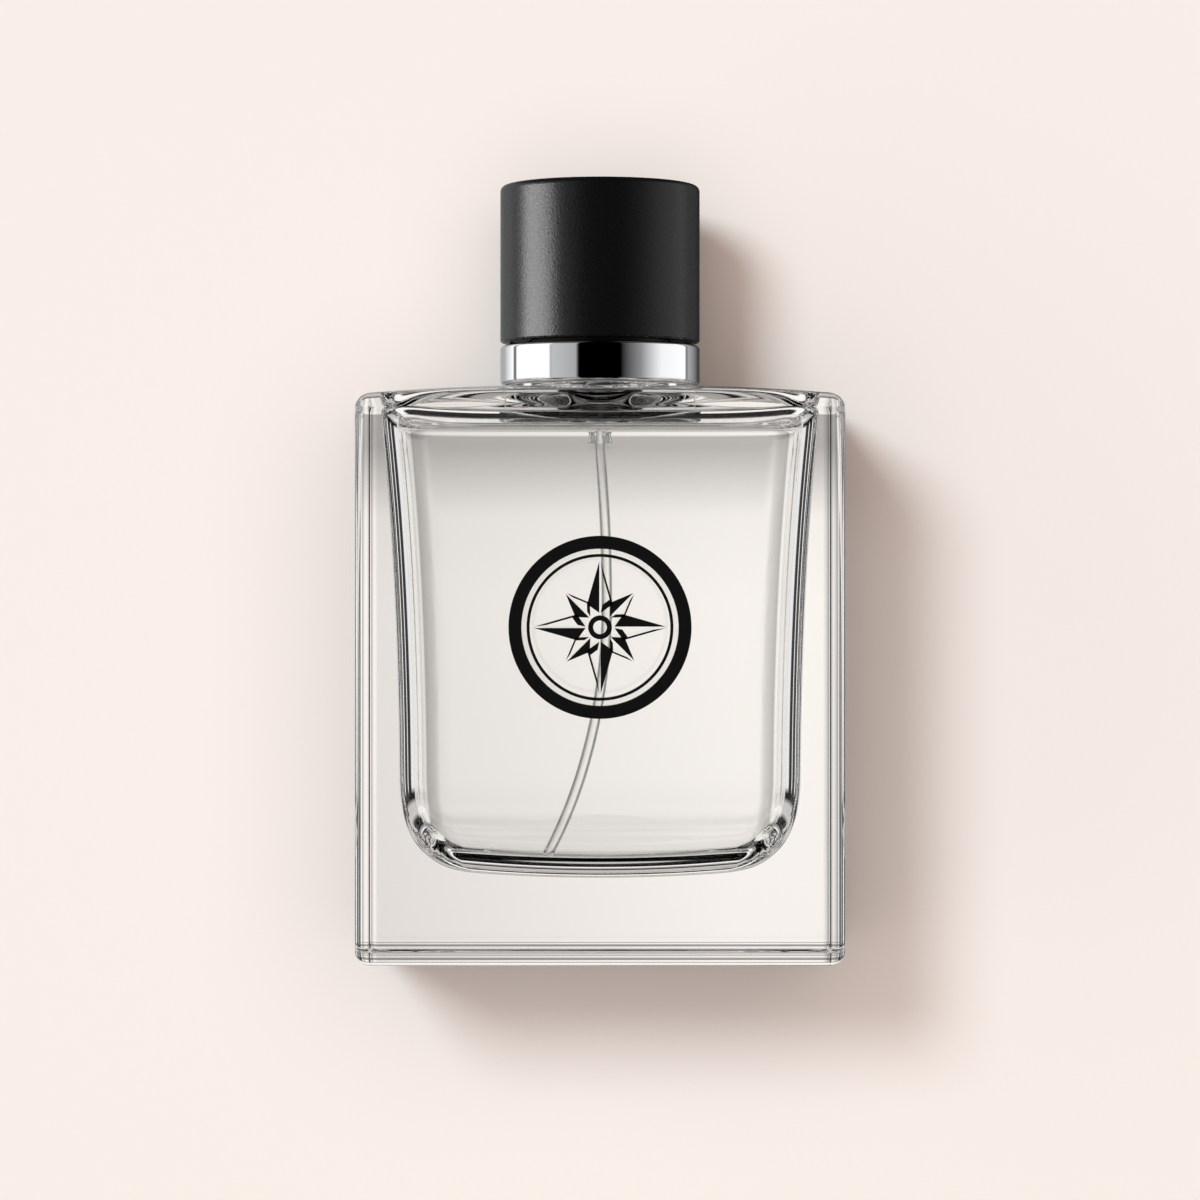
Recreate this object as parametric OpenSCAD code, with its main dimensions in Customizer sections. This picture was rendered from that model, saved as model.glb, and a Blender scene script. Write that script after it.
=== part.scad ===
// Fragrance bottle with a crimped spray pump, a plated collar and a pull-off cap.
// Z is up, the base centre is the origin and the front face looks along -Y.

/* [Glass body] */
// Width of the glass across the front
body_w = 72; // [60:0.5:90]
// Depth of the glass from front to back
body_d = 34; // [32:0.5:44]
// Height of the flat seat that the collar stands on
seat_z = 86; // [70:0.5:110]
// How far the shoulder falls from the middle to the left and right edges
crown_drop_x = 1.5; // [0.5:0.1:2.5]
// How far the shoulder falls from the middle to the front and back edges
crown_drop_y = 1.1; // [0.5:0.1:1.6]
// Radius along the horizontal edges of the glass
edge_r = 2.2; // [1:0.1:3]
// Radius of the four upright edges
upright_r = 2; // [1:0.1:4]
// Depth of the hollow under the base
punt_depth = 1.2; // [0.5:0.1:1.5]

/* [Cavity] */
// Thickness of the solid glass base
base_glass = 13.8; // [6:0.2:20]
// Thickness of the front and back walls
face_wall = 4; // [3:0.1:5]
// Thickness of the side walls where they meet the cavity floor
side_wall = 7.1; // [5:0.1:9]
// How much the side walls thin out from the floor to the ceiling
side_flare = 3.7; // [0.5:0.1:4]
// Radius between the cavity floor and its walls
floor_r = 9.7; // [4:0.1:9.9]
// Radius of the upright corners of the cavity
cavity_corner_r = 7; // [4:0.1:9]
// Radius between the cavity walls and its ceiling
ceiling_r = 4; // [2:0.1:5]
// Glass between the cavity ceiling and the collar seat
shoulder_glass = 4.1; // [3.4:0.1:6]
// Air between the liquid and the cavity ceiling
headspace = 3.4; // [2.1:0.1:48]

/* [Neck finish] */
// Outer diameter of the crimp bead
bead_d = 15; // [14:0.1:18]
// Height of the crimp bead
bead_h = 4; // [3:0.1:5]
// How far the crimp bead stands out from the neck below it
bead_lip = 1.2; // [0.9:0.1:1.7]
// Height of the neck from the seat to the sealing face
neck_h = 8; // [7.6:0.1:9.6]
// Diameter of the neck bore
neck_bore = 9.6; // [9:0.1:10.6]

/* [Pump] */
// Radial gap between the pump barrel and the neck bore
barrel_gap = 0.5; // [0.35:0.05:0.8]
// Diameter of the pump chamber
chamber_d = 6; // [5.2:0.1:6.4]
// Travel of the actuator
stroke = 3.5; // [2.5:0.1:4]
// Diameter of the hollow stem
stem_d = 3; // [2.6:0.1:3.4]
// Diameter of the inlet ball
ball_d = 2.4; // [2:0.1:2.6]
// Lift of the inlet ball off its seat
ball_lift = 0.6; // [0.3:0.1:0.8]
// Wire diameter of the return spring
wire_d = 0.45; // [0.3:0.05:0.5]
// Outer diameter of the dip tube
tube_d = 1.6; // [1.2:0.1:2]
// Wall thickness of the dip tube
tube_wall = 0.3; // [0.2:0.05:0.4]
// How far the dip tube bows to the right of the axis
tube_bow = 0.95; // [0.5:0.05:2]
// Depth below its socket at which the dip tube bows most
tube_bow_drop = 22.1; // [18:0.1:28]
// Distance of the dip tube's end to the left of the axis
tube_reach = 7.9; // [4:0.1:12]
// Height of the dip tube's end above the cavity floor
tube_end_gap = 1; // [0.8:0.1:4]

/* [Ferrule and collar] */
// Sheet thickness of the crimped ferrule
ferrule_t = 0.35; // [0.25:0.05:0.45]
// Outer diameter of the collar and of the cap
collar_d = 30; // [28.5:0.1:33]
// Height of the plated collar
collar_h = 5.85; // [5.4:0.05:7.2]
// Wall thickness of the plated collar
collar_wall = 0.8; // [0.5:0.05:1]
// Radial step from the collar's rim in to the sleeve that the cap pushes over
cap_step = 4.65; // [4:0.05:5.5]
// How far the sleeve stands over the open end of the metal actuator sleeve
sleeve_lap = 0.6; // [0:0.1:1.6]

/* [Actuator] */
// Outer diameter of the metal actuator sleeve
button_d = 14.4; // [12.4:0.1:14.8]
// Height of the metal actuator sleeve
button_h = 6.7; // [6.2:0.1:7]
// Diameter of the spray insert
insert_d = 3.4; // [3:0.1:3.6]

/* [Cap] */
// Height of the cap
cap_h = 23.6; // [23.2:0.1:28.4]
// Gap between the collar and the cap
cap_gap = 0.5; // [0.3:0.05:0.8]
// Wall thickness of the cap shell
cap_wall = 1.3; // [1:0.05:1.5]
// Thickness of the cap shell's top
cap_top = 1.5; // [1.2:0.1:2]
// Radius of the cap's top edge
cap_edge_r = 0.9; // [0.4:0.1:1.2]
// Wall thickness of the cap liner
liner_wall = 1; // [0.7:0.1:1.2]

/* [Clearances] */
// Gap between the actuator and the ferrule at full press
press_gap = 0.3; // [0.2:0.1:1]
// Gap between pieces that sit in each other
seat_gap = 0.05; // [0.03:0.01:0.08]
// Radial gap of the stem in its guide and in the actuator
running_gap = 0.04; // [0.02:0.01:0.08]
// Radial gap between the sleeve and the cap's grip ribs
grip_gap = 0.2; // [0.15:0.05:0.3]

/* [Hidden] */
$fn = 96;
FINE = 360;
eps = 0.01;

// Cavity
floor_z = base_glass;
ceiling_z = seat_z - shoulder_glass;
throat_z = seat_z - 1.6;
cavity_half_d = body_d / 2 - face_wall;
floor_fillet = min(floor_r, cavity_half_d - 3.2);
ring_steps = 10;
floor_steps = 7;
wall_steps = 8;
vault_steps = 6;
fill_z = ceiling_z - headspace;
punt_r = arc_radius(body_d / 2 - 3.6, punt_depth);
punt_run = body_w - body_d - 2;

// Neck, from the seat up
neck_z = seat_z + neck_h;
bead_z = neck_z - bead_h;
shank_d = bead_d - 2 * bead_lip;
barrel_d = neck_bore - 2 * barrel_gap;
seat_land_d = collar_d - 1.2;

// Pump stack, from the sealing face up
gasket_t = 0.8;
flange_z = neck_z + gasket_t;
flange_t = 0.8;
flange_d = shank_d;
deck_z = flange_z + flange_t;
closure_flange_t = 0.8;
stem_gasket_t = 0.6;
boss_z = deck_z + closure_flange_t + stem_gasket_t + seat_gap;
boss_r = barrel_d / 2 + 0.3;

// Pump housing, from the sealing face down
barrel_z = seat_z - 2.4;
waist_d = 5.2;
waist_z = seat_z - 4.3;
tail_d = 3.3;
tail_z = seat_z - 5.5 - stroke;
tail_skirt_d = 3.6;
tail_skirt_h = 1.3;
socket_top_z = tail_z + 3.2;
port_d = 1.2;
port_top_z = socket_top_z + 1;
ball_room_d = ball_d + 0.6;
cone_h = (ball_room_d - port_d) / 2;
ball_z = port_top_z - port_d / 2 + (ball_d / 2 + seat_gap) * sqrt(2);
ball_throat_d = 1.9;
ball_stop_drop = sqrt(pow(ball_d / 2, 2) - pow(ball_throat_d / 2, 2));
ball_throat_z = ball_z + ball_lift + ball_stop_drop + 0.15;
spring_z = ball_throat_z + 0.4;

// Stem and piston at rest
spigot_z = deck_z - 1.6;
piston_h = 2;
piston_z = spigot_z - piston_h - 0.1;
foot_d = 4.4;
foot_h = 1;
foot_z = piston_z - foot_h;
guide_pin_h = 1.3;
stem_bore_d = 1.2;
core_low_z = boss_z + ferrule_t + stroke + press_gap;
stem_top_z = core_low_z + 3.2;
spring_h = foot_z - spring_z;
spring_r = foot_d / 2 - wire_d / 2;
spring_turns = 5;
spring_end_turns = 0.8;

// Dip tube route, from its socket down
tube_r = tube_d / 2;
tube_lean = 2 * atan(tube_bow / tube_bow_drop);
bow_r = tube_bow_drop / sin(tube_lean);
kink_r = 20;
kink_drop = kink_r * sin(tube_lean);
kink_shift = kink_r * (1 - cos(tube_lean));
bow_x = tube_bow + kink_shift;
bow_z = tail_z - kink_drop - tube_bow_drop;
sweep_dx = bow_x + tube_reach;
sweep_dz = bow_z - floor_z - tube_end_gap;
sweep_r = (pow(sweep_dx, 2) + pow(sweep_dz, 2)) / (2 * sweep_dx);
sweep_angle = 2 * atan(sweep_dx / sweep_dz);
tube_sides = 12;
kink_steps = 3;
bow_steps = 5;
sweep_steps = 14;

// Ferrule
ferrule_in_r = bead_d / 2 + 0.15;
ferrule_r = ferrule_in_r + ferrule_t;
ferrule_lip_z = bead_z - 0.9;
ferrule_lip_r = shank_d / 2 + 0.4;

// Collar and clip
collar_z = seat_z + seat_gap;
collar_top_z = collar_z + collar_h;
clip_r = collar_d / 2 - collar_wall - seat_gap;
clip_deck_top_z = collar_top_z - collar_wall - seat_gap;
clip_deck_t = 1.1;
clip_ring_t = 1;
clip_bore_r = ferrule_r + seat_gap;
clip_bead_z = ferrule_lip_z - 1.1;
button_low_z = core_low_z - 0.3;
sleeve_d = collar_d - 2 * cap_step;
sleeve_top_z = button_low_z + sleeve_lap;
sleeve_t = 1.2;
sleeve_lip_t = 1;
sleeve_lip_r = button_d / 2 + 0.5;

// Actuator
button_top_z = button_low_z + button_h;
button_t = 0.4;
core_r = button_d / 2 - button_t - seat_gap;
core_wall = 0.9;
core_top_z = button_top_z - button_t - seat_gap;
core_edge_r = 0.7;
core_top_t = 1.2;
socket_boss_r = stem_d / 2 + 1.3;
nozzle_z = stem_top_z + 0.6;
insert_len = 2.6;
insert_front_y = -button_d / 2 + 0.25;
orifice_d = 0.3;
feed_d = 0.9;

// Cap
cap_z = collar_top_z + cap_gap;
cap_top_z = cap_z + cap_h;
cap_in_r = collar_d / 2 - cap_wall;
liner_low_z = cap_z + 0.3;
liner_top_z = cap_top_z - cap_top - seat_gap;
liner_top_t = 1.3;
grip_rib_h = 0.15;
liner_bore_r = sleeve_d / 2 + grip_gap + grip_rib_h;
liner_r = cap_in_r - seat_gap;
liner_ribs = 12;
grip_ribs = 6;

// Radius of a circle whose arc falls by `drop` over `half` of its chord
function arc_radius(half, drop) = (half * half + drop * drop) / (2 * drop);

// Half width and half depth of the cavity at height z
function cavity_half_w(z) =
  body_w / 2 - side_wall + side_flare * pow((z - floor_z) / (ceiling_z - floor_z), 2);

// One ring of a rounded rectangle with half sizes a and b and corner radius r
function ring(a, b, r, z) = [
  for (corner = [0 : 3], step = [0 : ring_steps - 1])
    let (
      turn = 90 * corner + 90 * (step + 0.5) / ring_steps,
      sx = (corner == 0 || corner == 3) ? 1 : -1,
      sy = (corner < 2) ? 1 : -1
    )
    [sx * (a - r) + r * cos(turn), sy * (b - r) + r * sin(turn), z]
];

// Rings of the cavity from its floor to the throat, shrunk by inset
function cavity_rings(inset) = let (
  low_r = 2.8,
  wall_low = floor_z + floor_fillet,
  wall_high = ceiling_z - ceiling_r,
  vault_a = cavity_half_w(wall_high) - ceiling_r,
  vault_b = cavity_half_d - ceiling_r,
  throat_r = neck_bore / 2 - 0.3
) concat(
  [for (i = [0 : floor_steps])
    let (
      t = 90 * i / floor_steps,
      in = floor_fillet * (1 - sin(t)),
      z = floor_z + floor_fillet * (1 - cos(t))
    )
    ring(cavity_half_w(z) - in - inset, cavity_half_d - in - inset,
         low_r + (cavity_corner_r - low_r) * sin(t) - inset, z + inset)],
  [for (i = [1 : wall_steps])
    let (z = wall_low + (wall_high - wall_low) * i / wall_steps)
    ring(cavity_half_w(z) - inset, cavity_half_d - inset, cavity_corner_r - inset, z)],
  [for (i = [1 : vault_steps])
    let (
      t = 90 * i / vault_steps,
      in = ceiling_r * (1 - cos(t)),
      z = wall_high + ceiling_r * sin(t)
    )
    ring(cavity_half_w(wall_high) - in - inset, cavity_half_d - in - inset,
         cavity_corner_r - 0.5 * in - inset, z - inset)],
  [for (i = [1 : vault_steps])
    let (
      s = i / vault_steps,
      z = ceiling_z + (throat_z - ceiling_z) * s * s
    )
    ring(vault_a + (throat_r - vault_a) * s - inset,
         vault_b + (throat_r - vault_b) * s - inset,
         cavity_corner_r - ceiling_r / 2
           + (throat_r - cavity_corner_r + ceiling_r / 2) * s - inset, z - inset)]
);

// Closed skin over a stack of rings with the same number of points
module loft(rings) {
  n = len(rings[0]);
  levels = len(rings);
  points = [for (one = rings) for (p = one) p];
  sides = [
    for (level = [0 : levels - 2], i = [0 : n - 1])
      let (j = (i + 1) % n)
      [level * n + j, level * n + i, (level + 1) * n + i, (level + 1) * n + j]
  ];
  bottom = [for (i = [0 : n - 1]) i];
  top = [for (i = [n - 1 : -1 : 0]) (levels - 1) * n + i];
  polyhedron(points, concat([bottom], sides, [top]), convexity = 6);
}

// Rectangle [w, h] with rounded corners and its lower left corner at the origin
module rounded_rectangle(w, h, r) {
  translate([r, 0]) square([w - 2 * r, h]);
  translate([0, r]) square([w, h - 2 * r]);
  for (x = [r, w - r], y = [r, h - r]) translate([x, y]) circle(r, $fn = 48);
}

// Tube or disc about Z with rounded outer edges
module rounded_ring(r_out, r_in, z, h, r_top, r_low) {
  rotate_extrude()
    difference() {
      union() {
        translate([0, z]) square([r_out - max(r_top, r_low), h]);
        translate([0, z + r_low]) square([r_out, h - r_top - r_low]);
        translate([r_out - r_top, z + h - r_top]) circle(r_top, $fn = 48);
        translate([r_out - r_low, z + r_low]) circle(r_low, $fn = 48);
      }
      translate([-r_out, z - eps]) square([r_out + r_in, h + 2 * eps]);
    }
}

// Plain tube about Z between two heights
module tube(r_out, r_in, z_low, z_high) {
  difference() {
    translate([0, 0, z_low]) cylinder(r = r_out, h = z_high - z_low);
    translate([0, 0, z_low - 1]) cylinder(r = r_in, h = z_high - z_low + 2);
  }
}

// Upright outline of the body, crowned on top, with rounded corners
module crowned_outline(half, drop) {
  crown_r = arc_radius(half - edge_r, drop);
  crown_z = seat_z - crown_r;
  corner_z = crown_z + sqrt(pow(crown_r - edge_r, 2) - pow(half - edge_r, 2));
  touch_x = (half - edge_r) * crown_r / (crown_r - edge_r);
  intersection() {
    translate([-touch_x, 0]) square([2 * touch_x, seat_z]);
    translate([0, crown_z]) circle(crown_r, $fn = 4 * FINE);
  }
  translate([-half, edge_r]) square([2 * half, corner_z - edge_r]);
  translate([-half + edge_r, 0]) square([2 * (half - edge_r), corner_z]);
  for (side = [-1, 1], z = [edge_r, corner_z])
    translate([side * (half - edge_r), z]) circle(edge_r, $fn = 48);
}

// Body of the glass without neck or cavity
module glass_block() {
  intersection() {
    translate([0, body_d / 2 + 1, 0])
      rotate([90, 0, 0])
        linear_extrude(body_d + 2) crowned_outline(body_w / 2, crown_drop_x);
    translate([-body_w / 2 - 1, 0, 0])
      rotate([90, 0, 90])
        linear_extrude(body_w + 2) crowned_outline(body_d / 2, crown_drop_y);
    translate([-body_w / 2, -body_d / 2, -1])
      linear_extrude(seat_z + 2) rounded_rectangle(body_w, body_d, upright_r);
  }
}

// Neck with its crimp bead and the land that the collar stands on
module glass_neck() {
  rotate_extrude() {
    translate([0, seat_z - 5]) square([seat_land_d / 2, 5]);
    translate([0, seat_z - 1]) square([shank_d / 2, neck_h - 0.4]);
    polygon([
      [0, bead_z - 0.9], [shank_d / 2, bead_z - 0.9], [bead_d / 2, bead_z + 0.5],
      [bead_d / 2, neck_z - 1], [bead_d / 2 - 1, neck_z - 1], [0, neck_z - 1]
    ]);
    translate([0, neck_z - 1.5]) square([bead_d / 2 - 1, 1.5]);
    translate([bead_d / 2 - 1, neck_z - 1]) circle(1, $fn = 48);
  }
}

// Long shallow hollow under the base
module punt() {
  z = punt_depth - punt_r;
  translate([-punt_run / 2, 0, z])
    rotate([0, 90, 0]) cylinder(r = punt_r, h = punt_run, $fn = FINE);
  for (side = [-1, 1]) translate([side * punt_run / 2, 0, z]) sphere(punt_r, $fn = FINE);
}

module glass_bottle() {
  color([0.90, 0.92, 0.91, 0.35])
    difference() {
      union() {
        glass_block();
        glass_neck();
      }
      loft(cavity_rings(0));
      translate([0, 0, throat_z - 0.5]) cylinder(d = neck_bore, h = neck_z);
      punt();
    }
}

// Stations [x, z, lean] down the dip tube: socket, kink, long bow and final sweep.
// The lean is measured from straight down, and both ends are drawn out by `extra`.
function tube_stations(extra) = concat(
  [[0, socket_top_z - seat_gap + extra, 0], [0, tail_z, 0]],
  [for (i = [1 : kink_steps])
    let (a = tube_lean * i / kink_steps)
    [kink_r * (1 - cos(a)), tail_z - kink_r * sin(a), a]],
  [for (i = [1 : bow_steps])
    let (a = tube_lean * (1 - i / bow_steps))
    [bow_x - bow_r * (1 - cos(a)), bow_z + bow_r * sin(a), a]],
  [for (i = [1 : sweep_steps])
    let (a = sweep_angle * i / sweep_steps, run = i == sweep_steps ? extra : 0)
    [bow_x - sweep_r * (1 - cos(a)) - run * sin(a), bow_z - sweep_r * sin(a) - run * cos(a), -a]]
);

// Round rings of radius r square to the dip tube's route
function tube_rings(r, extra) = [
  for (at = tube_stations(extra))
    [for (k = [0 : tube_sides - 1])
      let (b = 360 * k / tube_sides, across = r * cos(b))
      [at[0] + across * cos(at[2]), -r * sin(b), at[1] + across * sin(at[2])]]
];

module aftershave_fill() {
  color([0.93, 0.95, 0.94, 0.3])
    difference() {
      intersection() {
        loft(cavity_rings(seat_gap));
        translate([-body_w, -body_d, 0]) cube([2 * body_w, 2 * body_d, fill_z]);
      }
      loft(tube_rings(tube_r + seat_gap, seat_gap));
      translate([0, 0, tail_z - seat_gap]) cylinder(d = tail_skirt_d + 2 * seat_gap, h = 20);
    }
}

module dip_tube() {
  color([0.92, 0.93, 0.92, 0.5])
    difference() {
      loft(tube_rings(tube_r, 0));
      loft(tube_rings(tube_r - tube_wall, 0.5));
    }
}

module pump_housing() {
  color([0.88, 0.89, 0.88, 0.7])
    difference() {
      rotate_extrude()
        polygon([
          [0, tail_z], [tail_skirt_d / 2, tail_z], [tail_skirt_d / 2, tail_z + 0.5],
          [tail_d / 2, tail_z + tail_skirt_h], [tail_d / 2, waist_z],
          [waist_d / 2 - 0.2, waist_z], [waist_d / 2, waist_z + 0.2],
          [waist_d / 2, barrel_z - 0.6], [barrel_d / 2 - 0.3, barrel_z],
          [barrel_d / 2, barrel_z + 0.3], [barrel_d / 2, flange_z],
          [flange_d / 2, flange_z], [flange_d / 2, deck_z], [0, deck_z]
        ]);
      // Dip tube socket with a lead-in, inlet port and ball room
      translate([0, 0, tail_z - 1]) cylinder(r = tube_r + seat_gap / 2, h = 1 + socket_top_z - tail_z);
      translate([0, 0, tail_z - eps])
        cylinder(r1 = tail_skirt_d / 2 - 0.3, r2 = tube_r + seat_gap / 2, h = tail_skirt_h);
      translate([0, 0, socket_top_z - 1]) cylinder(d = port_d, h = 3);
      translate([0, 0, port_top_z]) cylinder(d1 = port_d, d2 = ball_room_d, h = cone_h);
      translate([0, 0, port_top_z + cone_h])
        cylinder(d = ball_room_d, h = ball_throat_z - port_top_z - cone_h);
      translate([0, 0, port_top_z]) cylinder(d = ball_throat_d, h = spring_z - port_top_z + 1);
      // Pump chamber and its chamfered mouth
      translate([0, 0, spring_z]) cylinder(d = chamber_d, h = 20);
      translate([0, 0, deck_z - 0.4]) cylinder(d1 = chamber_d, d2 = chamber_d + 0.8, h = 0.4 + eps);
    }
}

module inlet_ball() {
  color([0.8, 0.81, 0.83]) translate([0, 0, ball_z]) sphere(d = ball_d, $fn = 48);
}

// Height of the spring wire's centre after `turns` turns, with closed ends
function coil_rise(turns) = let (
  open_turns = spring_turns - 2 * spring_end_turns,
  closed_pitch = wire_d * 1.05,
  closed = spring_end_turns * closed_pitch,
  open_pitch = (spring_h - wire_d - 0.1 - 2 * closed) / open_turns,
  low = min(turns, spring_end_turns),
  middle = max(0, min(turns - spring_end_turns, open_turns)),
  high = max(0, turns - spring_turns + spring_end_turns)
) low * closed_pitch + middle * open_pitch + high * closed_pitch;

module return_spring() {
  turn_steps = 18;
  wire_sides = 8;
  steps = spring_turns * turn_steps;
  coil = [
    for (i = [0 : steps])
      let (turns = i / turn_steps, a = 360 * turns, z = coil_rise(turns))
      [for (k = [0 : wire_sides - 1])
        let (
          b = 360 * k / wire_sides,
          rho = spring_r + wire_d / 2 * cos(b)
        )
        [rho * cos(a), rho * sin(a), spring_z + 0.05 + wire_d / 2 + z - wire_d / 2 * sin(b)]]
  ];
  color([0.75, 0.76, 0.78]) loft(coil);
}

module pump_stem() {
  color([0.93, 0.93, 0.92])
    difference() {
      rotate_extrude()
        polygon([
          [0, foot_z - guide_pin_h], [1, foot_z - guide_pin_h], [1.3, foot_z - guide_pin_h + 0.4],
          [1.3, foot_z], [foot_d / 2, foot_z], [foot_d / 2, piston_z], [stem_d / 2, piston_z],
          [stem_d / 2, stem_top_z - 0.4], [stem_d / 2 - 0.25, stem_top_z], [0, stem_top_z]
        ]);
      translate([0, 0, piston_z + piston_h]) cylinder(d = stem_bore_d, h = 20, $fn = 32);
      // Side ports that feed the bore from above the piston
      translate([0, 0, piston_z + piston_h / 2 + 0.6])
        rotate([0, 90, 0]) cylinder(d = 0.6, h = stem_d + 1, center = true, $fn = 24);
      translate([0, 0, piston_z + piston_h / 2 + 0.6]) cylinder(d = 0.7, h = piston_h, $fn = 24);
    }
}

module piston_seal() {
  lip_r = chamber_d / 2 - running_gap;
  waist_r = lip_r - 0.35;
  color([0.82, 0.83, 0.82])
    rotate_extrude()
      polygon([
        [stem_d / 2 + 0.02, piston_z + 0.02], [waist_r, piston_z + 0.02], [lip_r, piston_z + 0.1],
        [lip_r, piston_z + 0.4], [waist_r, piston_z + 0.7],
        [waist_r, piston_z + piston_h - 0.7], [lip_r, piston_z + piston_h - 0.4],
        [lip_r, piston_z + piston_h - 0.1], [waist_r, piston_z + piston_h],
        [stem_d / 2 + 0.02, piston_z + piston_h]
      ]);
}

module housing_closure() {
  guide_r = stem_d / 2 + running_gap;
  spigot_r = chamber_d / 2 - 0.02;
  color([0.93, 0.93, 0.92])
    rotate_extrude()
      polygon([
        [guide_r, spigot_z], [spigot_r - 0.3, spigot_z], [spigot_r, spigot_z + 0.3],
        [spigot_r, deck_z], [barrel_d / 2, deck_z],
        [barrel_d / 2, deck_z + closure_flange_t], [guide_r, deck_z + closure_flange_t]
      ]);
}

module stem_gasket() {
  color([0.15, 0.15, 0.16])
    tube(barrel_d / 2, stem_d / 2 + running_gap, deck_z + closure_flange_t, boss_z - seat_gap);
}

module neck_gasket() {
  color([0.92, 0.92, 0.9]) tube(flange_d / 2, barrel_d / 2 + seat_gap, neck_z, flange_z);
}

module crimp_ferrule() {
  color([0.80, 0.81, 0.82])
    rotate_extrude()
      polygon([
        [ferrule_lip_r, ferrule_lip_z - ferrule_t], [ferrule_r - 0.2, ferrule_lip_z - ferrule_t],
        [ferrule_r, ferrule_lip_z], [ferrule_r, deck_z + seat_gap],
        [ferrule_r - 0.35, deck_z + seat_gap + ferrule_t],
        [boss_r + ferrule_t, deck_z + seat_gap + ferrule_t],
        [boss_r + ferrule_t, boss_z + ferrule_t - 0.25], [boss_r + 0.1, boss_z + ferrule_t],
        [stem_d / 2 + 0.5, boss_z + ferrule_t], [stem_d / 2 + 0.5, boss_z],
        [boss_r, boss_z], [boss_r, deck_z + seat_gap],
        [ferrule_in_r, deck_z + seat_gap], [ferrule_in_r, bead_z + 0.4],
        [ferrule_lip_r, ferrule_lip_z + 0.1]
      ]);
}

module collar_clip() {
  color([0.12, 0.12, 0.13]) {
    difference() {
      rotate_extrude()
        polygon([
          [clip_bore_r, clip_bead_z], [clip_bore_r, seat_z + seat_gap],
          [sleeve_d / 2 - 0.6, seat_z + seat_gap],
          [sleeve_d / 2 - 0.6, clip_deck_top_z - clip_deck_t],
          [clip_r - clip_ring_t, clip_deck_top_z - clip_deck_t],
          [clip_r - clip_ring_t, seat_z + seat_gap], [clip_r, seat_z + seat_gap],
          [clip_r, clip_deck_top_z], [sleeve_d / 2, clip_deck_top_z],
          [sleeve_d / 2, sleeve_top_z - 0.6], [sleeve_d / 2 - 0.6, sleeve_top_z],
          [sleeve_lip_r, sleeve_top_z], [sleeve_lip_r, sleeve_top_z - sleeve_lip_t],
          [sleeve_d / 2 - sleeve_t, sleeve_top_z - sleeve_lip_t - 0.8],
          [sleeve_d / 2 - sleeve_t, deck_z + 1.2], [clip_bore_r, deck_z + 0.6]
        ]);
      // Slots that let the clip spring over the ferrule
      for (i = [0 : 3])
        rotate([0, 0, 45 + 90 * i])
          translate([clip_bore_r - 1, -0.4, seat_z - 1])
            cube([sleeve_d / 2 - clip_bore_r + 0.2, 0.8, clip_deck_top_z - clip_deck_t - seat_z + 0.8]);
    }
    // Snap bead under the ferrule's rolled edge
    difference() {
      rotate_extrude()
        polygon([
          [clip_bore_r + 0.2, clip_bead_z], [clip_bore_r - 0.6, clip_bead_z + 0.35],
          [clip_bore_r - 0.6, clip_bead_z + 0.6], [clip_bore_r + 0.2, clip_bead_z + 0.7]
        ]);
      for (i = [0 : 3])
        rotate([0, 0, 45 + 90 * i])
          translate([clip_bore_r - 2, -0.4, clip_bead_z - 1]) cube([4, 0.8, 3]);
    }
    // Webs between the clip and the outer ring
    for (i = [0 : 11])
      rotate([0, 0, 30 * i])
        translate([sleeve_d / 2 - 0.8, -0.35, seat_z + seat_gap])
          cube([clip_r - clip_ring_t - sleeve_d / 2 + 1.2, 0.7,
                clip_deck_top_z - clip_deck_t - seat_z - seat_gap + eps]);
  }
}

module collar_shell() {
  edge = 0.55;
  color([0.86, 0.87, 0.88])
    difference() {
      rounded_ring(collar_d / 2, sleeve_d / 2 + seat_gap, collar_z, collar_h, edge, edge);
      translate([0, 0, collar_z - 1])
        cylinder(r = collar_d / 2 - collar_wall, h = 1 + collar_h - collar_wall);
    }
}

// Outer form of the actuator core
module core_blank() {
  rounded_ring(core_r, 0, core_low_z, core_top_z - core_low_z, core_edge_r, 0.1);
}

module actuator_core() {
  color([0.16, 0.16, 0.17])
    difference() {
      union() {
        difference() {
          core_blank();
          translate([0, 0, core_low_z - 1])
            cylinder(r = core_r - core_wall, h = 1 + core_top_z - core_low_z - core_top_t);
        }
        translate([0, 0, core_low_z])
          cylinder(r = socket_boss_r, h = core_top_z - core_low_z - 0.5);
        // Block that carries the spray insert
        intersection() {
          core_blank();
          translate([0, 0, nozzle_z])
            rotate([90, 0, 0]) cylinder(d = insert_d + 1.6, h = core_r + 1);
        }
        // Stiffening ribs
        for (i = [0 : 5])
          rotate([0, 0, 60 * i])
            translate([socket_boss_r - 0.5, -0.3, core_low_z + 1.6])
              cube([core_r - socket_boss_r, 0.6, core_top_z - core_low_z - 2]);
      }
      // Stem socket with a lead-in
      translate([0, 0, core_low_z - 1])
        cylinder(r = stem_d / 2 + running_gap, h = 1 + stem_top_z - core_low_z + 0.05);
      translate([0, 0, core_low_z - eps])
        cylinder(r1 = stem_d / 2 + 0.5, r2 = stem_d / 2 + running_gap, h = 0.6);
      // Feed passage and insert pocket
      translate([0, 0, stem_top_z - 0.5]) cylinder(d = feed_d, h = nozzle_z - stem_top_z + 0.7);
      translate([0, 0, nozzle_z]) rotate([90, 0, 0]) cylinder(d = feed_d, h = core_r + 1);
      translate([0, insert_front_y + insert_len + 0.05, nozzle_z])
        rotate([90, 0, 0]) cylinder(d = insert_d + 2 * seat_gap, h = core_r + 1);
    }
}

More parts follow.
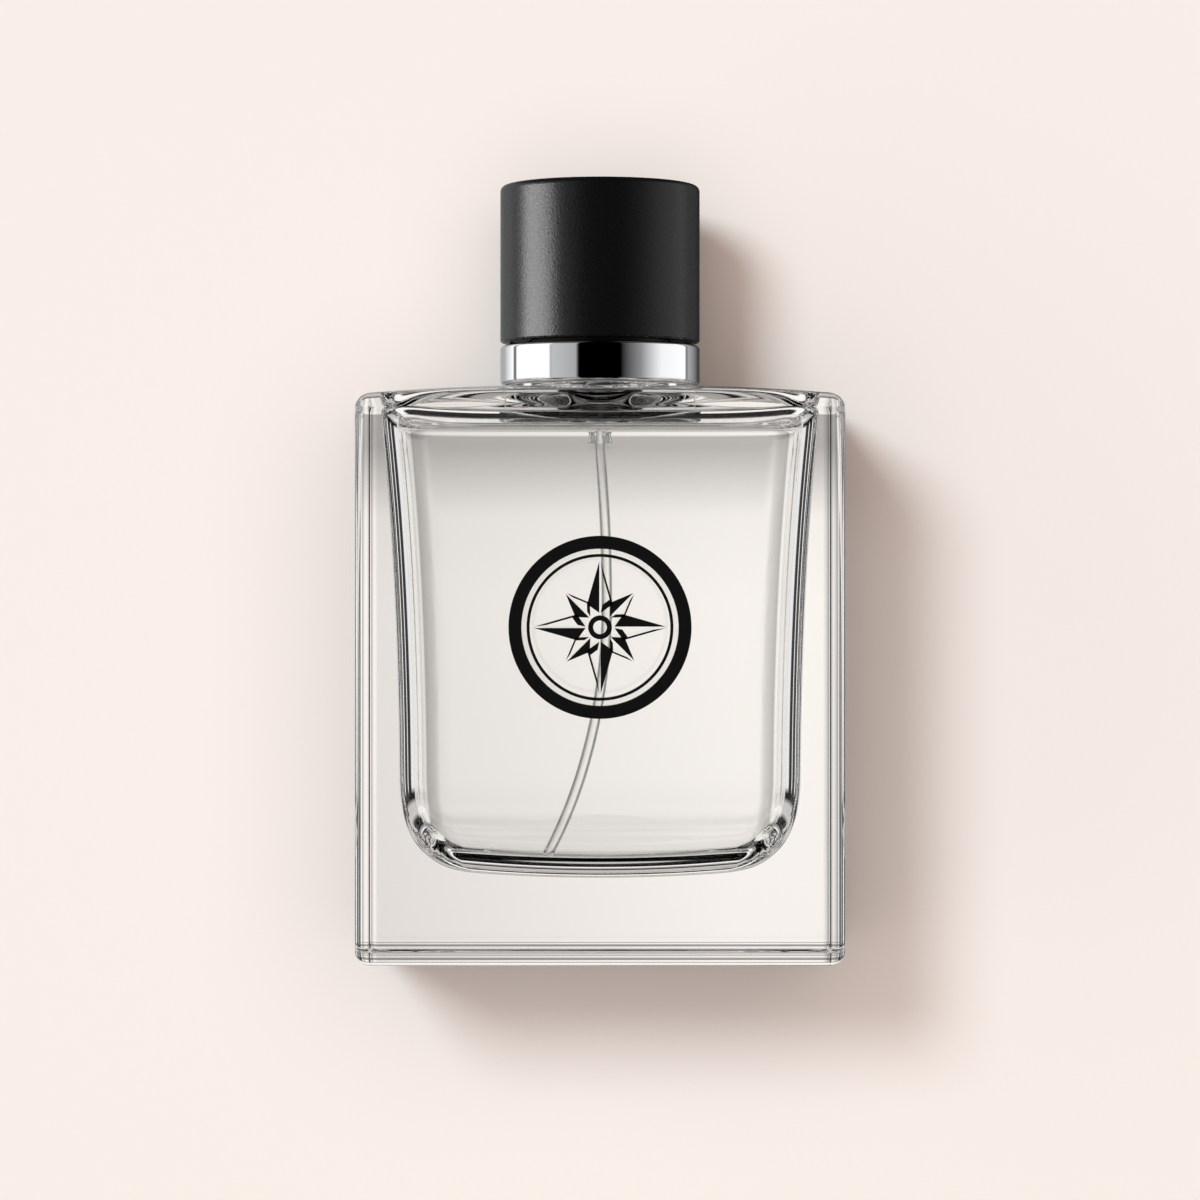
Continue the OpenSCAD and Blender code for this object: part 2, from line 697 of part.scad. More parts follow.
module actuator_sleeve() {
  top_r = 0.9;
  color([0.86, 0.87, 0.88])
    difference() {
      rounded_ring(button_d / 2, 0, button_low_z, button_h, top_r, 0.15);
      translate([0, 0, button_low_z - 1])
        cylinder(r = button_d / 2 - button_t, h = 1 + button_h - button_t - 0.6);
      rotate_extrude()
        union() {
          translate([0, button_top_z - button_t - 0.8])
            square([button_d / 2 - button_t - 0.6, 0.8]);
          translate([button_d / 2 - button_t - 0.6, button_top_z - button_t - 0.6])
            circle(0.6, $fn = 48);
        }
      // Shallow finger dish
      translate([0, 0, button_top_z + 59.85]) sphere(60, $fn = FINE);
      // Spray hole
      translate([0, 0, nozzle_z]) rotate([90, 0, 0]) cylinder(d = insert_d + 0.3, h = button_d);
    }
}

module spray_insert() {
  color([0.93, 0.93, 0.92])
    difference() {
      translate([0, insert_front_y, nozzle_z])
        rotate([-90, 0, 0]) {
          cylinder(d1 = insert_d - 0.3, d2 = insert_d, h = 0.3);
          translate([0, 0, 0.3]) cylinder(d = insert_d, h = insert_len - 0.3);
        }
      translate([0, insert_front_y, nozzle_z])
        rotate([-90, 0, 0]) {
          translate([0, 0, -0.3 - eps]) cylinder(d1 = 1.6, d2 = orifice_d, h = 0.6, $fn = 32);
          cylinder(d = orifice_d, h = 1, $fn = 32);
          translate([0, 0, 0.7]) cylinder(d = 1.2, h = 0.3, $fn = 32);
          translate([0, 0, 0.9]) cylinder(d = insert_d - 1, h = insert_len);
        }
    }
}

module cap_liner() {
  bore_top_z = liner_top_z - liner_top_t;
  color([0.14, 0.14, 0.15]) {
    tube(liner_bore_r + liner_wall, liner_bore_r, liner_low_z, bore_top_z + eps);
    translate([0, 0, bore_top_z]) cylinder(r = liner_r, h = liner_top_t);
    // Flange inside the cap's mouth
    tube(liner_r, liner_bore_r, liner_low_z, liner_low_z + 1);
    // Ribs that centre the liner in the shell
    for (i = [0 : liner_ribs - 1])
      rotate([0, 0, 360 * i / liner_ribs])
        translate([liner_bore_r + liner_wall - 0.2, -0.4, liner_low_z + 0.5])
          cube([liner_r - liner_bore_r - liner_wall + 0.1, 0.8, bore_top_z - liner_low_z]);
    // Grip ribs that hold the cap on the sleeve
    for (i = [0 : grip_ribs - 1])
      rotate([0, 0, 360 * (i + 0.5) / grip_ribs])
        translate([liner_bore_r - grip_rib_h, -0.5, liner_low_z + 1])
          cube([grip_rib_h + 0.3, 1, sleeve_top_z - collar_top_z - 2.95]);
  }
}

module cap_shell() {
  color([0.09, 0.09, 0.10])
    difference() {
      rounded_ring(collar_d / 2, 0, cap_z, cap_h, cap_edge_r, 0.35);
      translate([0, 0, cap_z - 1]) cylinder(r = cap_in_r, h = 1 + cap_h - cap_top);
    }
}

glass_bottle();
aftershave_fill();
dip_tube();
pump_housing();
inlet_ball();
return_spring();
pump_stem();
piston_seal();
housing_closure();
stem_gasket();
neck_gasket();
crimp_ferrule();
collar_clip();
collar_shell();
actuator_core();
actuator_sleeve();
spray_insert();
cap_liner();
cap_shell();
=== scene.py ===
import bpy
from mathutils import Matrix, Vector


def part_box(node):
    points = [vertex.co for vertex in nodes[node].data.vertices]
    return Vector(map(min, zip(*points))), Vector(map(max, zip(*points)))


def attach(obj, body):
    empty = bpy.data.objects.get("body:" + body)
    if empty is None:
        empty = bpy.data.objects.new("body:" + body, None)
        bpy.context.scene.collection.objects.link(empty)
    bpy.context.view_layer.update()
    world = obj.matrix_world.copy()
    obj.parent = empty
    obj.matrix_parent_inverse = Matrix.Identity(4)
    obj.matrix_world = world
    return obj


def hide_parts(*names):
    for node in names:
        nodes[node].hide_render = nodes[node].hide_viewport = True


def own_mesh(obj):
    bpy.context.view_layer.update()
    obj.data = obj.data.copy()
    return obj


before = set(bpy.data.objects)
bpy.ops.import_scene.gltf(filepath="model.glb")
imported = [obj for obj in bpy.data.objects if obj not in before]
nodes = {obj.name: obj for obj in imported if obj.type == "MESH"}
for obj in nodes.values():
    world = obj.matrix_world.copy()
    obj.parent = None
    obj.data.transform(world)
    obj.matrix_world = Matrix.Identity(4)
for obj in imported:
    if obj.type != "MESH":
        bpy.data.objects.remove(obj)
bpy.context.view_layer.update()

import math

import bmesh
import bpy
import numpy as np
from mathutils import Vector

MM = 0.001                               # shapes are worked out in mm and kept in metres


def srgb(r, g, b):
    """Linear colour of an 8-bit display colour."""
    out = []
    for v in (r, g, b):
        v /= 255
        out.append(v / 12.92 if v <= 0.04045 else ((v + 0.055) / 1.055) ** 2.4)
    return (*out, 1.0)


# ---------------------------------------------------------------- shader kit
class Tree:
    """Short calls for building one node tree."""

    def __init__(self, tree):
        self.t = tree
        self.t.nodes.clear()

    def add(self, kind, settings=None, **inputs):
        """A shader node with its settings and its inputs."""
        n = self.t.nodes.new("ShaderNode" + kind)
        for k, v in (settings or {}).items():
            setattr(n, k, v)
        for k, v in inputs.items():
            self.put(n, k, v)
        return n

    def put(self, n, key, v):
        """Links or sets one input. key is its name with _ for a space, or its place, as in0."""
        if key.startswith("in") and key[2:].isdigit():
            socket = n.inputs[int(key[2:])]
        else:
            socket = n.inputs[key.replace("_", " ")]
        if isinstance(v, bpy.types.NodeSocket):
            self.t.links.new(v, socket)
        elif isinstance(v, bpy.types.Node):
            self.t.links.new(v.outputs[0], socket)
        else:
            socket.default_value = v

    def output(self, kind, shader):
        """Ends the tree of a Material, World or Light."""
        self.put(self.add("Output" + kind), "in0", shader)

    def math(self, op, a, b=0.0, clamp=False):
        return self.add("Math", {"operation": op, "use_clamp": clamp}, in0=a, in1=b).outputs[0]

    def plus(self, a, b):
        return self.math("ADD", a, b)

    def times(self, a, b):
        return self.math("MULTIPLY", a, b)

    def rest(self, v):
        """What v leaves of 1, never below 0."""
        return self.math("SUBTRACT", 1.0, v, True)

    def mix(self, factor, off, on):
        """Shader that goes from off to on with the factor."""
        return self.add("MixShader", in0=factor, in1=off, in2=on)

    def ramp(self, fac, stops):
        """Colour or grey by fac; stops are (place, value)."""
        n = self.add("ValToRGB", Fac=fac)
        elements = n.color_ramp.elements
        while len(elements) < len(stops):
            elements.new(0.5)
        for e, (at, c) in zip(elements, stops):
            e.position = at
            e.color = c if hasattr(c, "__len__") else (c, c, c, 1)
        return n.outputs[0]

    def noise(self, scale, detail):
        """Noise in the object's own space."""
        place = self.add("TexCoord").outputs["Object"]
        return self.add("TexNoise", Vector=place, Scale=scale, Detail=detail).outputs[0]


def material(name):
    m = bpy.data.materials.new(name)
    m.use_nodes = True
    return m, Tree(m.node_tree)


def principled(name, color, rough, metal=0.0, **extra):
    """A Principled material, with its tree and its shader for adding to it."""
    m, t = material(name)
    b = t.add("BsdfPrincipled", Base_Color=color, Roughness=rough, Metallic=metal, **extra)
    t.output("Material", b)
    return m, t, b


# ------------------------------------------------------------------ mesh kit
WELD = 1e-7                              # metres between vertices that become one
LATHE_SIDES = 160


def new_object(name, data):
    o = bpy.data.objects.new(name, data)
    bpy.context.scene.collection.objects.link(o)
    return o


def grid_mesh(name, patches):
    """One mesh from patches of quads; each patch is (points[v][u], normals[v][u], material slot).
    Rings are closed. Vertices that coincide are joined, and every corner keeps its patch's own
    normal."""
    verts, faces, normals, slots = [], [], [], []
    index = {}

    def vertex(p):
        key = (round(p[0] / WELD), round(p[1] / WELD), round(p[2] / WELD))
        if key not in index:
            index[key] = len(verts)
            verts.append(tuple(p))
        return index[key]

    for pts, nrm, slot in patches:
        nv, nu = pts.shape[:2]
        ids = [[vertex(pts[v, u]) for u in range(nu)] for v in range(nv)]
        for v in range(nv - 1):
            for u in range(nu):
                w = (u + 1) % nu
                quad = [(v, u), (v, w), (v + 1, w), (v + 1, u)]
                loop, seen = [], set()
                for a, b in quad:
                    if ids[a][b] not in seen:
                        seen.add(ids[a][b])
                        loop.append((ids[a][b], nrm[a, b]))
                if len(loop) > 2:
                    faces.append([i for i, _ in loop])
                    slots.append(slot)
                    normals.extend([tuple(n) for _, n in loop])
    me = bpy.data.meshes.new(name)
    me.from_pydata(verts, [], faces)
    me.polygons.foreach_set("use_smooth", [True] * len(faces))
    me.polygons.foreach_set("material_index", slots)
    me.normals_split_custom_set(normals)
    me.update()
    return new_object(name, me)


def dress(o, body, mat, replaced=()):
    """Gives a piece its material and its body, and hides the CAD nodes that it stands for."""
    o.data.materials.clear()
    o.data.materials.append(mat)
    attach(o, body)
    if replaced:
        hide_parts(*replaced)
    return o


def arc(cx, cz, r, a0, a1, steps=8):
    """Points on a circle from angle a0 to a1, in degrees."""
    angles = [math.radians(a0 + (a1 - a0) * i / steps) for i in range(steps + 1)]
    return [(cx + r * math.cos(a), cz + r * math.sin(a)) for a in angles]


def lathe(name, profile, body, mat, replaced):
    """A turned piece. profile is a list of runs; each run is a list of (r, z) in mm with the
    outline's smooth stretch, and its normals follow that run alone."""
    ang = np.linspace(0, 2 * np.pi, LATHE_SIDES, endpoint=False)

    def spun(rz):
        """Rows of (r, z) turned about the axis."""
        return np.stack([rz[:, None, 0] * np.cos(ang), rz[:, None, 0] * np.sin(ang),
                         np.repeat(rz[:, None, 1], LATHE_SIDES, 1)], 2)

    patches = []
    for run in profile:
        run = np.array(run, float)
        along = np.gradient(run, axis=0)
        out = np.stack([along[:, 1], -along[:, 0]], 1)
        out /= np.linalg.norm(out, axis=1)[:, None]
        patches.append((spun(run) * MM, spun(out), 0))
    return dress(grid_mesh(name, patches), body, mat, replaced)

# --------------------------------------------------------------- glass sizes
W, D, SEAT = 72.0, 34.0, 86.0            # width, depth, height of the collar's seat
EDGE = 2.2                               # round of the block's outer edges
SHARP_R = 0.02                           # corner radius where such a round has closed
CROWN_X, CROWN_Y = 1.5, 1.1              # fall of the shoulder to its ends, and front and back
PUNT_HALF, PUNT_DEPTH = 18.0, 1.2        # hollow under the base: half its straight run, depth
PUNT_R = D / 2 - 3.6
PUNT_CURVE = (PUNT_R ** 2 + PUNT_DEPTH ** 2) / (2 * PUNT_DEPTH)
LAND_R, LAND_EDGE = 14.4, 0.2            # flat land under the collar
SHANK_R, SHANK_FILLET = 6.3, 0.3         # neck below its bead
BEAD_R, BEAD_Z, BEAD_EDGE = 7.5, 90.0, 1.0
BEAD_FROM, BEAD_TO = BEAD_Z - 0.9, BEAD_Z + 0.5    # slope under the bead
BORE_R, NECK_Z = 4.8, 94.0
THROAT_Z, THROAT_LIP = 84.4, 0.5         # where the bore opens into the cavity

FLOOR_Z, CEIL_Z = 13.8, 81.9
HALF_D = 13.0                            # half the cavity's depth
SIDE_WALL, SIDE_FLARE, FLARE_POWER = 6.3, 2.9, 2.6
FLOOR_R, CORNER_R, CEIL_R, LOW_R = 9.7, 7.0, 4.0, 2.8
FLOOR_RISE, FLOOR_POWER = 14.5, 1.25     # height and form of the curve from floor to wall
FLOOR_BOW, BOW_HALF = 1.4, 26            # the floor's middle hangs, out to this half width
FLOOR_MIDDLE = 0.02                      # share of the floor that closes at a point
SIDE_CEIL_R = 1.6
CORNER_LIFT, LIFT_FROM, LIFT_RUN = 1.0, 15, 17     # the ceiling rises to its ends

FILL_Z = 78.5                            # surface of the liquid
CREEP, CREEP_REACH, CREEP_RUN = 1.3, 1.5, 7.0      # how it rises along the glass
RIM_Z = FILL_Z + CREEP                   # where the liquid's edge meets the glass
FILL_GAP = 0.01                          # between the liquid and the glass
LEVEL_R = 0.4                            # corner radius of the surface where it is level
# Ring parameter: u runs over four corners and four sides, with fixed shares of points
N_CORNER, N_LONG, N_SHORT = 22, 44, 20
KNOTS = np.cumsum([0, N_SHORT / 2, N_CORNER, N_LONG, N_CORNER, N_SHORT, N_CORNER, N_LONG,
                   N_CORNER, N_SHORT / 2])
N_RING = int(KNOTS[-1])
U = np.arange(N_RING, dtype=float)
CORNER_AT, CORNER_HALF = 32.0, 5.0       # where a circle has its corner points, in degrees


def rect_ring(u, a, b, r):
    """Point on a rounded rectangle with half sizes a, b and corner radius r."""
    u = np.mod(u, N_RING)
    out = np.zeros(u.shape + (2,))
    corners = [(1, 1, 0), (-1, 1, 90), (-1, -1, 180), (1, -1, 270)]
    ends = [(a, 0.0), (a, b - r), (a - r, b), (-(a - r), b), (-a, b - r), (-a, -(b - r)),
            (-(a - r), -b), (a - r, -b), (a, -(b - r)), (a, 0.0)]
    for i in range(len(KNOTS) - 1):
        m = (u >= KNOTS[i]) & (u <= KNOTS[i + 1] + 1e-12)
        t = (u[m] - KNOTS[i]) / (KNOTS[i + 1] - KNOTS[i])
        if i % 2 == 1:
            sx, sy, a0 = corners[i // 2]
            ang = np.radians(a0 + 90 * t)
            out[m, 0] = sx * (a - r) + r * np.cos(ang)
            out[m, 1] = sy * (b - r) + r * np.sin(ang)
        else:
            p, q = np.array(ends[i]), np.array(ends[i + 1])
            out[m] = p + (q - p) * t[:, None]
    return out


def circle_ring(u, r):
    """Point on a circle, with its points turned the way the rectangle's points lie."""
    near, far = CORNER_AT - CORNER_HALF, CORNER_AT + CORNER_HALF
    stops = [0, near, far, 180 - far, 180 - near, 180 + near, 180 + far, 360 - far, 360 - near,
             360]
    ang = np.radians(np.interp(np.mod(u, N_RING), KNOTS, stops))
    return np.stack([r * np.cos(ang), r * np.sin(ang)], -1)


def patch(shape, t_values, slot=0):
    """Points, normals and slot of one smooth stretch; shape(u, t) gives points in mm."""
    step_t, step_u = 1e-4, 0.01
    pts, nrm = [], []
    for t in t_values:
        dt = shape(U, min(t + step_t, 1.0)) - shape(U, max(t - step_t, 0.0))
        du = shape(U + step_u, t) - shape(U - step_u, t)
        n = np.cross(du, dt)
        size = np.linalg.norm(n, axis=1)
        bad = size < 1e-12
        n[~bad] /= size[~bad][:, None]
        if bad.any():
            good = n[~bad]
            n[bad] = good.mean(0) if len(good) else (0, 0, 1)
        pts.append(shape(U, t) * MM)
        nrm.append(n)
    return np.array(pts), np.array(nrm), slot


def flat(shape, t_values, nz, slot=0):
    """A level stretch, which faces up or down."""
    pts, nrm, slot = patch(shape, t_values, slot)
    nrm[:] = (0, 0, nz)
    return pts, nrm, slot


def crowned(p):
    """Bends the block's top down from the seat towards its edges."""
    q = p.copy()
    dx = CROWN_X * (p[:, 0] / (W / 2 - EDGE)) ** 2
    dy = CROWN_Y * (p[:, 1] / (D / 2 - EDGE)) ** 2
    q[:, 2] -= np.sqrt(dx * dx + dy * dy + 1e-9) * np.clip(p[:, 2] / SEAT, 0, 1) ** 3
    return q


def up(xy, z):
    """A ring at height z, or at a height for each of its points."""
    z = np.broadcast_to(z, xy.shape[:1])
    return np.concatenate([xy, z[:, None]], 1)


def lin(n):
    return np.linspace(0, 1, n + 1)


def wall_half_w(z):
    """Half width of the cavity at a height."""
    share = max((z - FLOOR_Z) / (CEIL_Z - FLOOR_Z), 0)
    return W / 2 - SIDE_WALL + SIDE_FLARE * share ** FLARE_POWER


def punt_z(x, y):
    """Height of the hollow under the base at x, y."""
    d = np.maximum(np.abs(x) - PUNT_HALF, 0)
    q = np.sqrt(np.maximum(PUNT_CURVE ** 2 - d * d - y * y, 0))
    return PUNT_DEPTH - PUNT_CURVE + q


def edge_ring(u, k, z):
    """Outline within an edge's round, where k is 0 on the flat face and 1 on the wall."""
    return up(rect_ring(u, W / 2 - EDGE + EDGE * k, D / 2 - EDGE + EDGE * k,
                        SHARP_R + (EDGE - SHARP_R) * k), z)


def turned(run):
    """Round stretch through (r, z) points."""
    pts = np.array(run, float)

    def shape(u, t):
        x = t * (len(pts) - 1)
        i = min(int(x), len(pts) - 2)
        r, z = pts[i] + (pts[i + 1] - pts[i]) * (x - i)
        return up(circle_ring(u, r), z)
    return patch(shape, lin(len(pts) - 1))


def outer_patches():
    """The block from the hollow under its base up to the seat, then the neck into its bore."""
    def hollow(u, t):
        xy = rect_ring(u, PUNT_HALF + PUNT_R * t, PUNT_R * t, PUNT_R * t)
        return up(xy, punt_z(xy[:, 0], xy[:, 1]))

    def foot(u, t):
        a = (PUNT_HALF + PUNT_R) + (W / 2 - EDGE - PUNT_HALF - PUNT_R) * t
        b = PUNT_R + (D / 2 - EDGE - PUNT_R) * t
        return up(rect_ring(u, a, b, PUNT_R + (SHARP_R - PUNT_R) * t), 0.0)

    def low_edge(u, t):
        s = math.radians(90 * t)
        return edge_ring(u, math.sin(s), EDGE * (1 - math.cos(s)))

    def walls(u, t):
        return crowned(up(rect_ring(u, W / 2, D / 2, EDGE), EDGE + (SEAT - 2 * EDGE) * t))

    def top_edge(u, t):
        s = math.radians(90 * t)
        return crowned(edge_ring(u, math.cos(s), SEAT - EDGE + EDGE * math.sin(s)))

    def shoulder(u, t):
        p = rect_ring(u, W / 2 - EDGE, D / 2 - EDGE, SHARP_R)
        return crowned(up(p + (circle_ring(u, LAND_R) - p) * t, SEAT))

    def land_side(u, t):
        q = circle_ring(u, LAND_R)
        z = crowned(up(q, SEAT))[:, 2]
        return up(q, z + (SEAT - LAND_EDGE - z) * t)

    land_pts, land_nrm, land_slot = patch(land_side, lin(2))
    land_nrm[:] = up(circle_ring(U, 1.0), 0.0)
    land_r, foot_r = LAND_R - LAND_EDGE, SHANK_R + SHANK_FILLET
    lip_r, lip_z = BEAD_R - BEAD_EDGE, NECK_Z - BEAD_EDGE
    return [
        patch(hollow, [0, .15, .3, .45, .6, .75, .88, 1.0]),
        flat(foot, lin(4), -1),
        patch(low_edge, lin(10)),
        patch(walls, lin(12)),
        patch(top_edge, lin(10)),
        patch(shoulder, lin(16)),
        (land_pts, land_nrm, land_slot),
        turned(arc(land_r, SEAT - LAND_EDGE, LAND_EDGE, 0, 90, 4)),
        turned([(land_r, SEAT), (foot_r, SEAT)]),
        turned(arc(foot_r, SEAT + SHANK_FILLET, SHANK_FILLET, 270, 180, 4)),
        turned([(SHANK_R, SEAT + SHANK_FILLET), (SHANK_R, BEAD_FROM)]),
        turned([(SHANK_R, BEAD_FROM), (BEAD_R, BEAD_TO)]),
        turned([(BEAD_R, BEAD_TO), (BEAD_R, lip_z)]),
        turned(arc(lip_r, lip_z, BEAD_EDGE, 0, 90, 6)),
        turned([(lip_r, NECK_Z), (BORE_R, NECK_Z)]),
        turned([(BORE_R, NECK_Z), (BORE_R, THROAT_Z + THROAT_LIP)]),
    ]


def cavity_top_ring(z, grow=0.0):
    """Half sizes and corner radius of the cavity at a height within its ceiling edge."""
    gy = CEIL_R - math.sqrt(max(CEIL_R ** 2 - (z - CEIL_Z + CEIL_R) ** 2, 0))
    over = max(z - CEIL_Z + SIDE_CEIL_R, 0)
    gx = SIDE_CEIL_R - math.sqrt(max(SIDE_CEIL_R ** 2 - over ** 2, 0))
    return wall_half_w(z) - gx + grow, HALF_D - gy + grow, CORNER_R - 0.5 * gy + grow


def lifted(p):
    """Raises the ceiling towards the left and right ends of the cavity, and bows its floor."""
    q = p.copy()
    low_k = np.clip((FLOOR_Z + FLOOR_RISE - q[:, 2]) / FLOOR_RISE, 0, 1)
    q[:, 2] -= FLOOR_BOW * np.clip(1 - (q[:, 0] / BOW_HALF) ** 2, 0, 1) * low_k ** 3
    high_k = np.clip((q[:, 2] - CEIL_Z + CEIL_R) / CEIL_R, 0, 1)
    end_k = np.clip((np.abs(q[:, 0]) - LIFT_FROM) / LIFT_RUN, 0, None)
    q[:, 2] += CORNER_LIFT * end_k ** 2 * high_k
    return q


def cavity_stretches(grow=0.0):
    """Stretches of the cavity wall from its floor up to the throat. The floor and the wall are
    moved outwards by grow mm."""
    low, high = FLOOR_Z + FLOOR_RISE, CEIL_Z - CEIL_R
    floor_a, floor_b = wall_half_w(FLOOR_Z) - FLOOR_R, HALF_D - FLOOR_R
    ceiling = cavity_top_ring(CEIL_Z)

    def floor_middle(u, t):
        xy = rect_ring(u, floor_a, floor_b, LOW_R) * FLOOR_MIDDLE * t
        return lifted(up(xy, FLOOR_Z - grow))

    def floor_flat(u, t):
        xy = rect_ring(u, floor_a, floor_b, LOW_R) * (FLOOR_MIDDLE + (1 - FLOOR_MIDDLE) * t)
        return lifted(up(xy, FLOOR_Z - grow))

    def floor_edge(u, t):
        s = math.radians(90 * t)
        g = FLOOR_R * (1 - math.sin(s)) ** FLOOR_POWER
        z = FLOOR_Z + FLOOR_RISE * (1 - math.cos(s))
        k = grow * math.sin(s)
        ring = rect_ring(u, wall_half_w(z) - g + k, HALF_D - g + k,
                         LOW_R + (CORNER_R - LOW_R) * math.sin(s) + k)
        return lifted(up(ring, z - grow * math.cos(s)))

    def wall(u, t):
        z = low + (high - low) * t
        return up(rect_ring(u, wall_half_w(z) + grow, HALF_D + grow, CORNER_R + grow), z)

    def ceiling_edge(u, t):
        z = high + CEIL_R * math.sin(math.radians(90 * t))
        return lifted(up(rect_ring(u, *cavity_top_ring(z)), z))

    def vault(u, t):
        p = rect_ring(u, *ceiling)
        xy = p + (circle_ring(u, BORE_R) - p) * t
        return lifted(up(xy, CEIL_Z + (THROAT_Z - CEIL_Z) * t * t))
    return floor_middle, floor_flat, floor_edge, wall, ceiling_edge, vault


def inner_patches():
    """The cavity as seen from the glass, whose normals point into the cavity."""
    floor_middle, floor_flat, floor_edge, wall, ceiling_edge, vault = cavity_stretches()
    bare, wetted = 1, 2                  # material slots
    wet = math.degrees(math.asin((RIM_Z - CEIL_Z + CEIL_R) / CEIL_R)) / 90

    def throat(u, t):
        return up(circle_ring(u, BORE_R), THROAT_Z + THROAT_LIP - THROAT_LIP * t)
    return [
        patch(throat, lin(1), bare),
        patch(lambda u, t: vault(u, 1 - t), lin(16), bare),
        patch(lambda u, t: ceiling_edge(u, 1 - (1 - wet) * t), lin(18), bare),
        patch(lambda u, t: ceiling_edge(u, wet * (1 - t)), lin(6), wetted),
        patch(lambda u, t: wall(u, 1 - t), lin(24), wetted),
        patch(lambda u, t: floor_edge(u, 1 - t), lin(24), wetted),
        patch(lambda u, t: floor_flat(u, 1 - t), lin(4), wetted),
        flat(lambda u, t: floor_middle(u, 1 - t), lin(1), 1, wetted),
    ]


def fill_patches():
    """The liquid, whose surface creeps up the walls."""
    floor_middle, floor_flat, floor_edge, wall, _, _ = cavity_stretches(-FILL_GAP)
    surface, side = 0, 1                 # material slots; the side lies on the glass
    high = CEIL_Z - CEIL_R
    a, b, r = cavity_top_ring(RIM_Z, -FILL_GAP)

    def rim(u, t):
        z = high + (RIM_Z - high) * t
        return lifted(up(rect_ring(u, *cavity_top_ring(z, -FILL_GAP)), z))

    def meniscus(u, t):
        d = CREEP_RUN * t ** 2
        k = math.exp(-d / CREEP_REACH) - math.exp(-CREEP_RUN / CREEP_REACH) * t
        return lifted(up(rect_ring(u, a - d, b - d, max(r - d, LEVEL_R)), FILL_Z + CREEP * k))

    def level(u, t):
        return lifted(up(rect_ring(u, a - CREEP_RUN, b - CREEP_RUN, LEVEL_R) * (1 - t), FILL_Z))
    return [
        flat(floor_middle, lin(1), -1, side),
        patch(floor_flat, lin(4), side),
        patch(floor_edge, lin(20), side),
        patch(wall, lin(24), side),
        patch(rim, lin(6), side),
        patch(meniscus, lin(22), surface),
        patch(level, lin(5), surface),
    ]


# ------------------------------------------------------------ clear materials
GLASS_IOR, LIQUID_IOR = 1.5, 1.36
TUBE_IOR, HOUSING_IOR = 1.12, 1.18       # low, which keeps their outlines faint
GLASS_TINT = (0.985, 0.99, 0.988, 1)
LIQUID_TINT = (0.99, 0.992, 0.99, 1)


def refracting(t, ior, tint, rough=0.0):
    return t.add("BsdfPrincipled", Base_Color=tint, Roughness=rough, IOR=ior,
                 Transmission_Weight=1.0)


def clear(name, ior, tint, face, side, end, entry=None, rough=0.0):
    """Clear refracting material. Shadow rays pass straight through it: a share `face` through what
    faces front or back, `side` through the sides and `end` through what faces up or down.
    Light that leaves by a side or end from within is trapped, apart from `entry`."""
    m, t = material(name)
    geo = t.add("NewGeometry")
    normal = t.add("SeparateXYZ", Vector=geo.outputs["Normal"])
    ny = t.math("ABSOLUTE", normal.outputs["Y"])
    nz = t.math("ABSOLUTE", normal.outputs["Z"])
    facing = t.add("MapRange", {"interpolation_type": "SMOOTHSTEP"},
                   Value=ny, From_Min=0.35, From_Max=0.9).outputs[0]
    off = t.plus(t.times(nz, end - side), side)
    if entry is not None:
        back = geo.outputs["Backfacing"]
        off = t.plus(t.times(t.math("SUBTRACT", off, entry), back), entry)
    keep = t.plus(t.times(t.math("SUBTRACT", face, off), facing), off)
    shadow = t.add("LightPath").outputs["Is Shadow Ray"]
    t.output("Material", t.mix(shadow, refracting(t, ior, tint, rough),
                               t.add("BsdfTransparent", Color=keep)))
    return m


def touching(name, ior, tint):
    """Liquid where it lies on glass. The glass there already bends the light, so only a camera that
    looks at the liquid alone sees this side of it."""
    m, t = material(name)
    camera_ray = t.add("LightPath").outputs["Is Camera Ray"]
    t.output("Material", t.mix(camera_ray, t.add("BsdfTransparent"), refracting(t, ior, tint)))
    return m


glass = clear("clear_glass", GLASS_IOR, GLASS_TINT, face=0.95, side=0.8, end=0.15, entry=0.2)
glass_inner = clear("clear_glass_cavity", GLASS_IOR, GLASS_TINT, face=0.98, side=0.95, end=0.8)
glass_wet = clear("clear_glass_wet", GLASS_IOR / LIQUID_IOR, GLASS_TINT,
                  face=0.98, side=0.95, end=0.8)
liquid = clear("aftershave", LIQUID_IOR, LIQUID_TINT, face=0.99, side=0.95, end=0.8)
liquid_side = touching("aftershave_side", LIQUID_IOR, LIQUID_TINT)
tube_mat = clear("tube_polyethylene", TUBE_IOR, (0.97, 0.975, 0.97, 1),
                 face=0.97, side=0.9, end=0.9, rough=0.05)


# ------------------------------------------------------------- solid materials
def chrome():
    """Bright plating with faint smudges in its gloss."""
    m, t, b = principled("bright_plating", (0.86, 0.865, 0.875, 1), 0.05, 1.0)
    t.put(b, "Roughness", t.ramp(t.noise(900.0, 3.0), [(0.3, 0.025), (0.8, 0.06)]))
    return m


def grained_black():
    """Black plastic with a fine moulded grain."""
    m, t, b = principled("grained_black", (0.0035, 0.0035, 0.0038, 1), 0.4,
                         Specular_IOR_Level=0.3)
    cells = t.add("TexVoronoi", {"feature": "DISTANCE_TO_EDGE"},
                  Vector=t.add("TexCoord").outputs["Object"], Scale=2000.0)
    fine = t.noise(2400.0, 3.0)
    height = t.plus(t.times(cells, 0.7), t.times(fine, 0.35))
    t.put(b, "Normal", t.add("Bump", Strength=0.3, Distance=0.00014, Height=height))
    t.put(b, "Roughness", t.ramp(fine, [(0.3, 0.25), (0.8, 0.33)]))
    return m


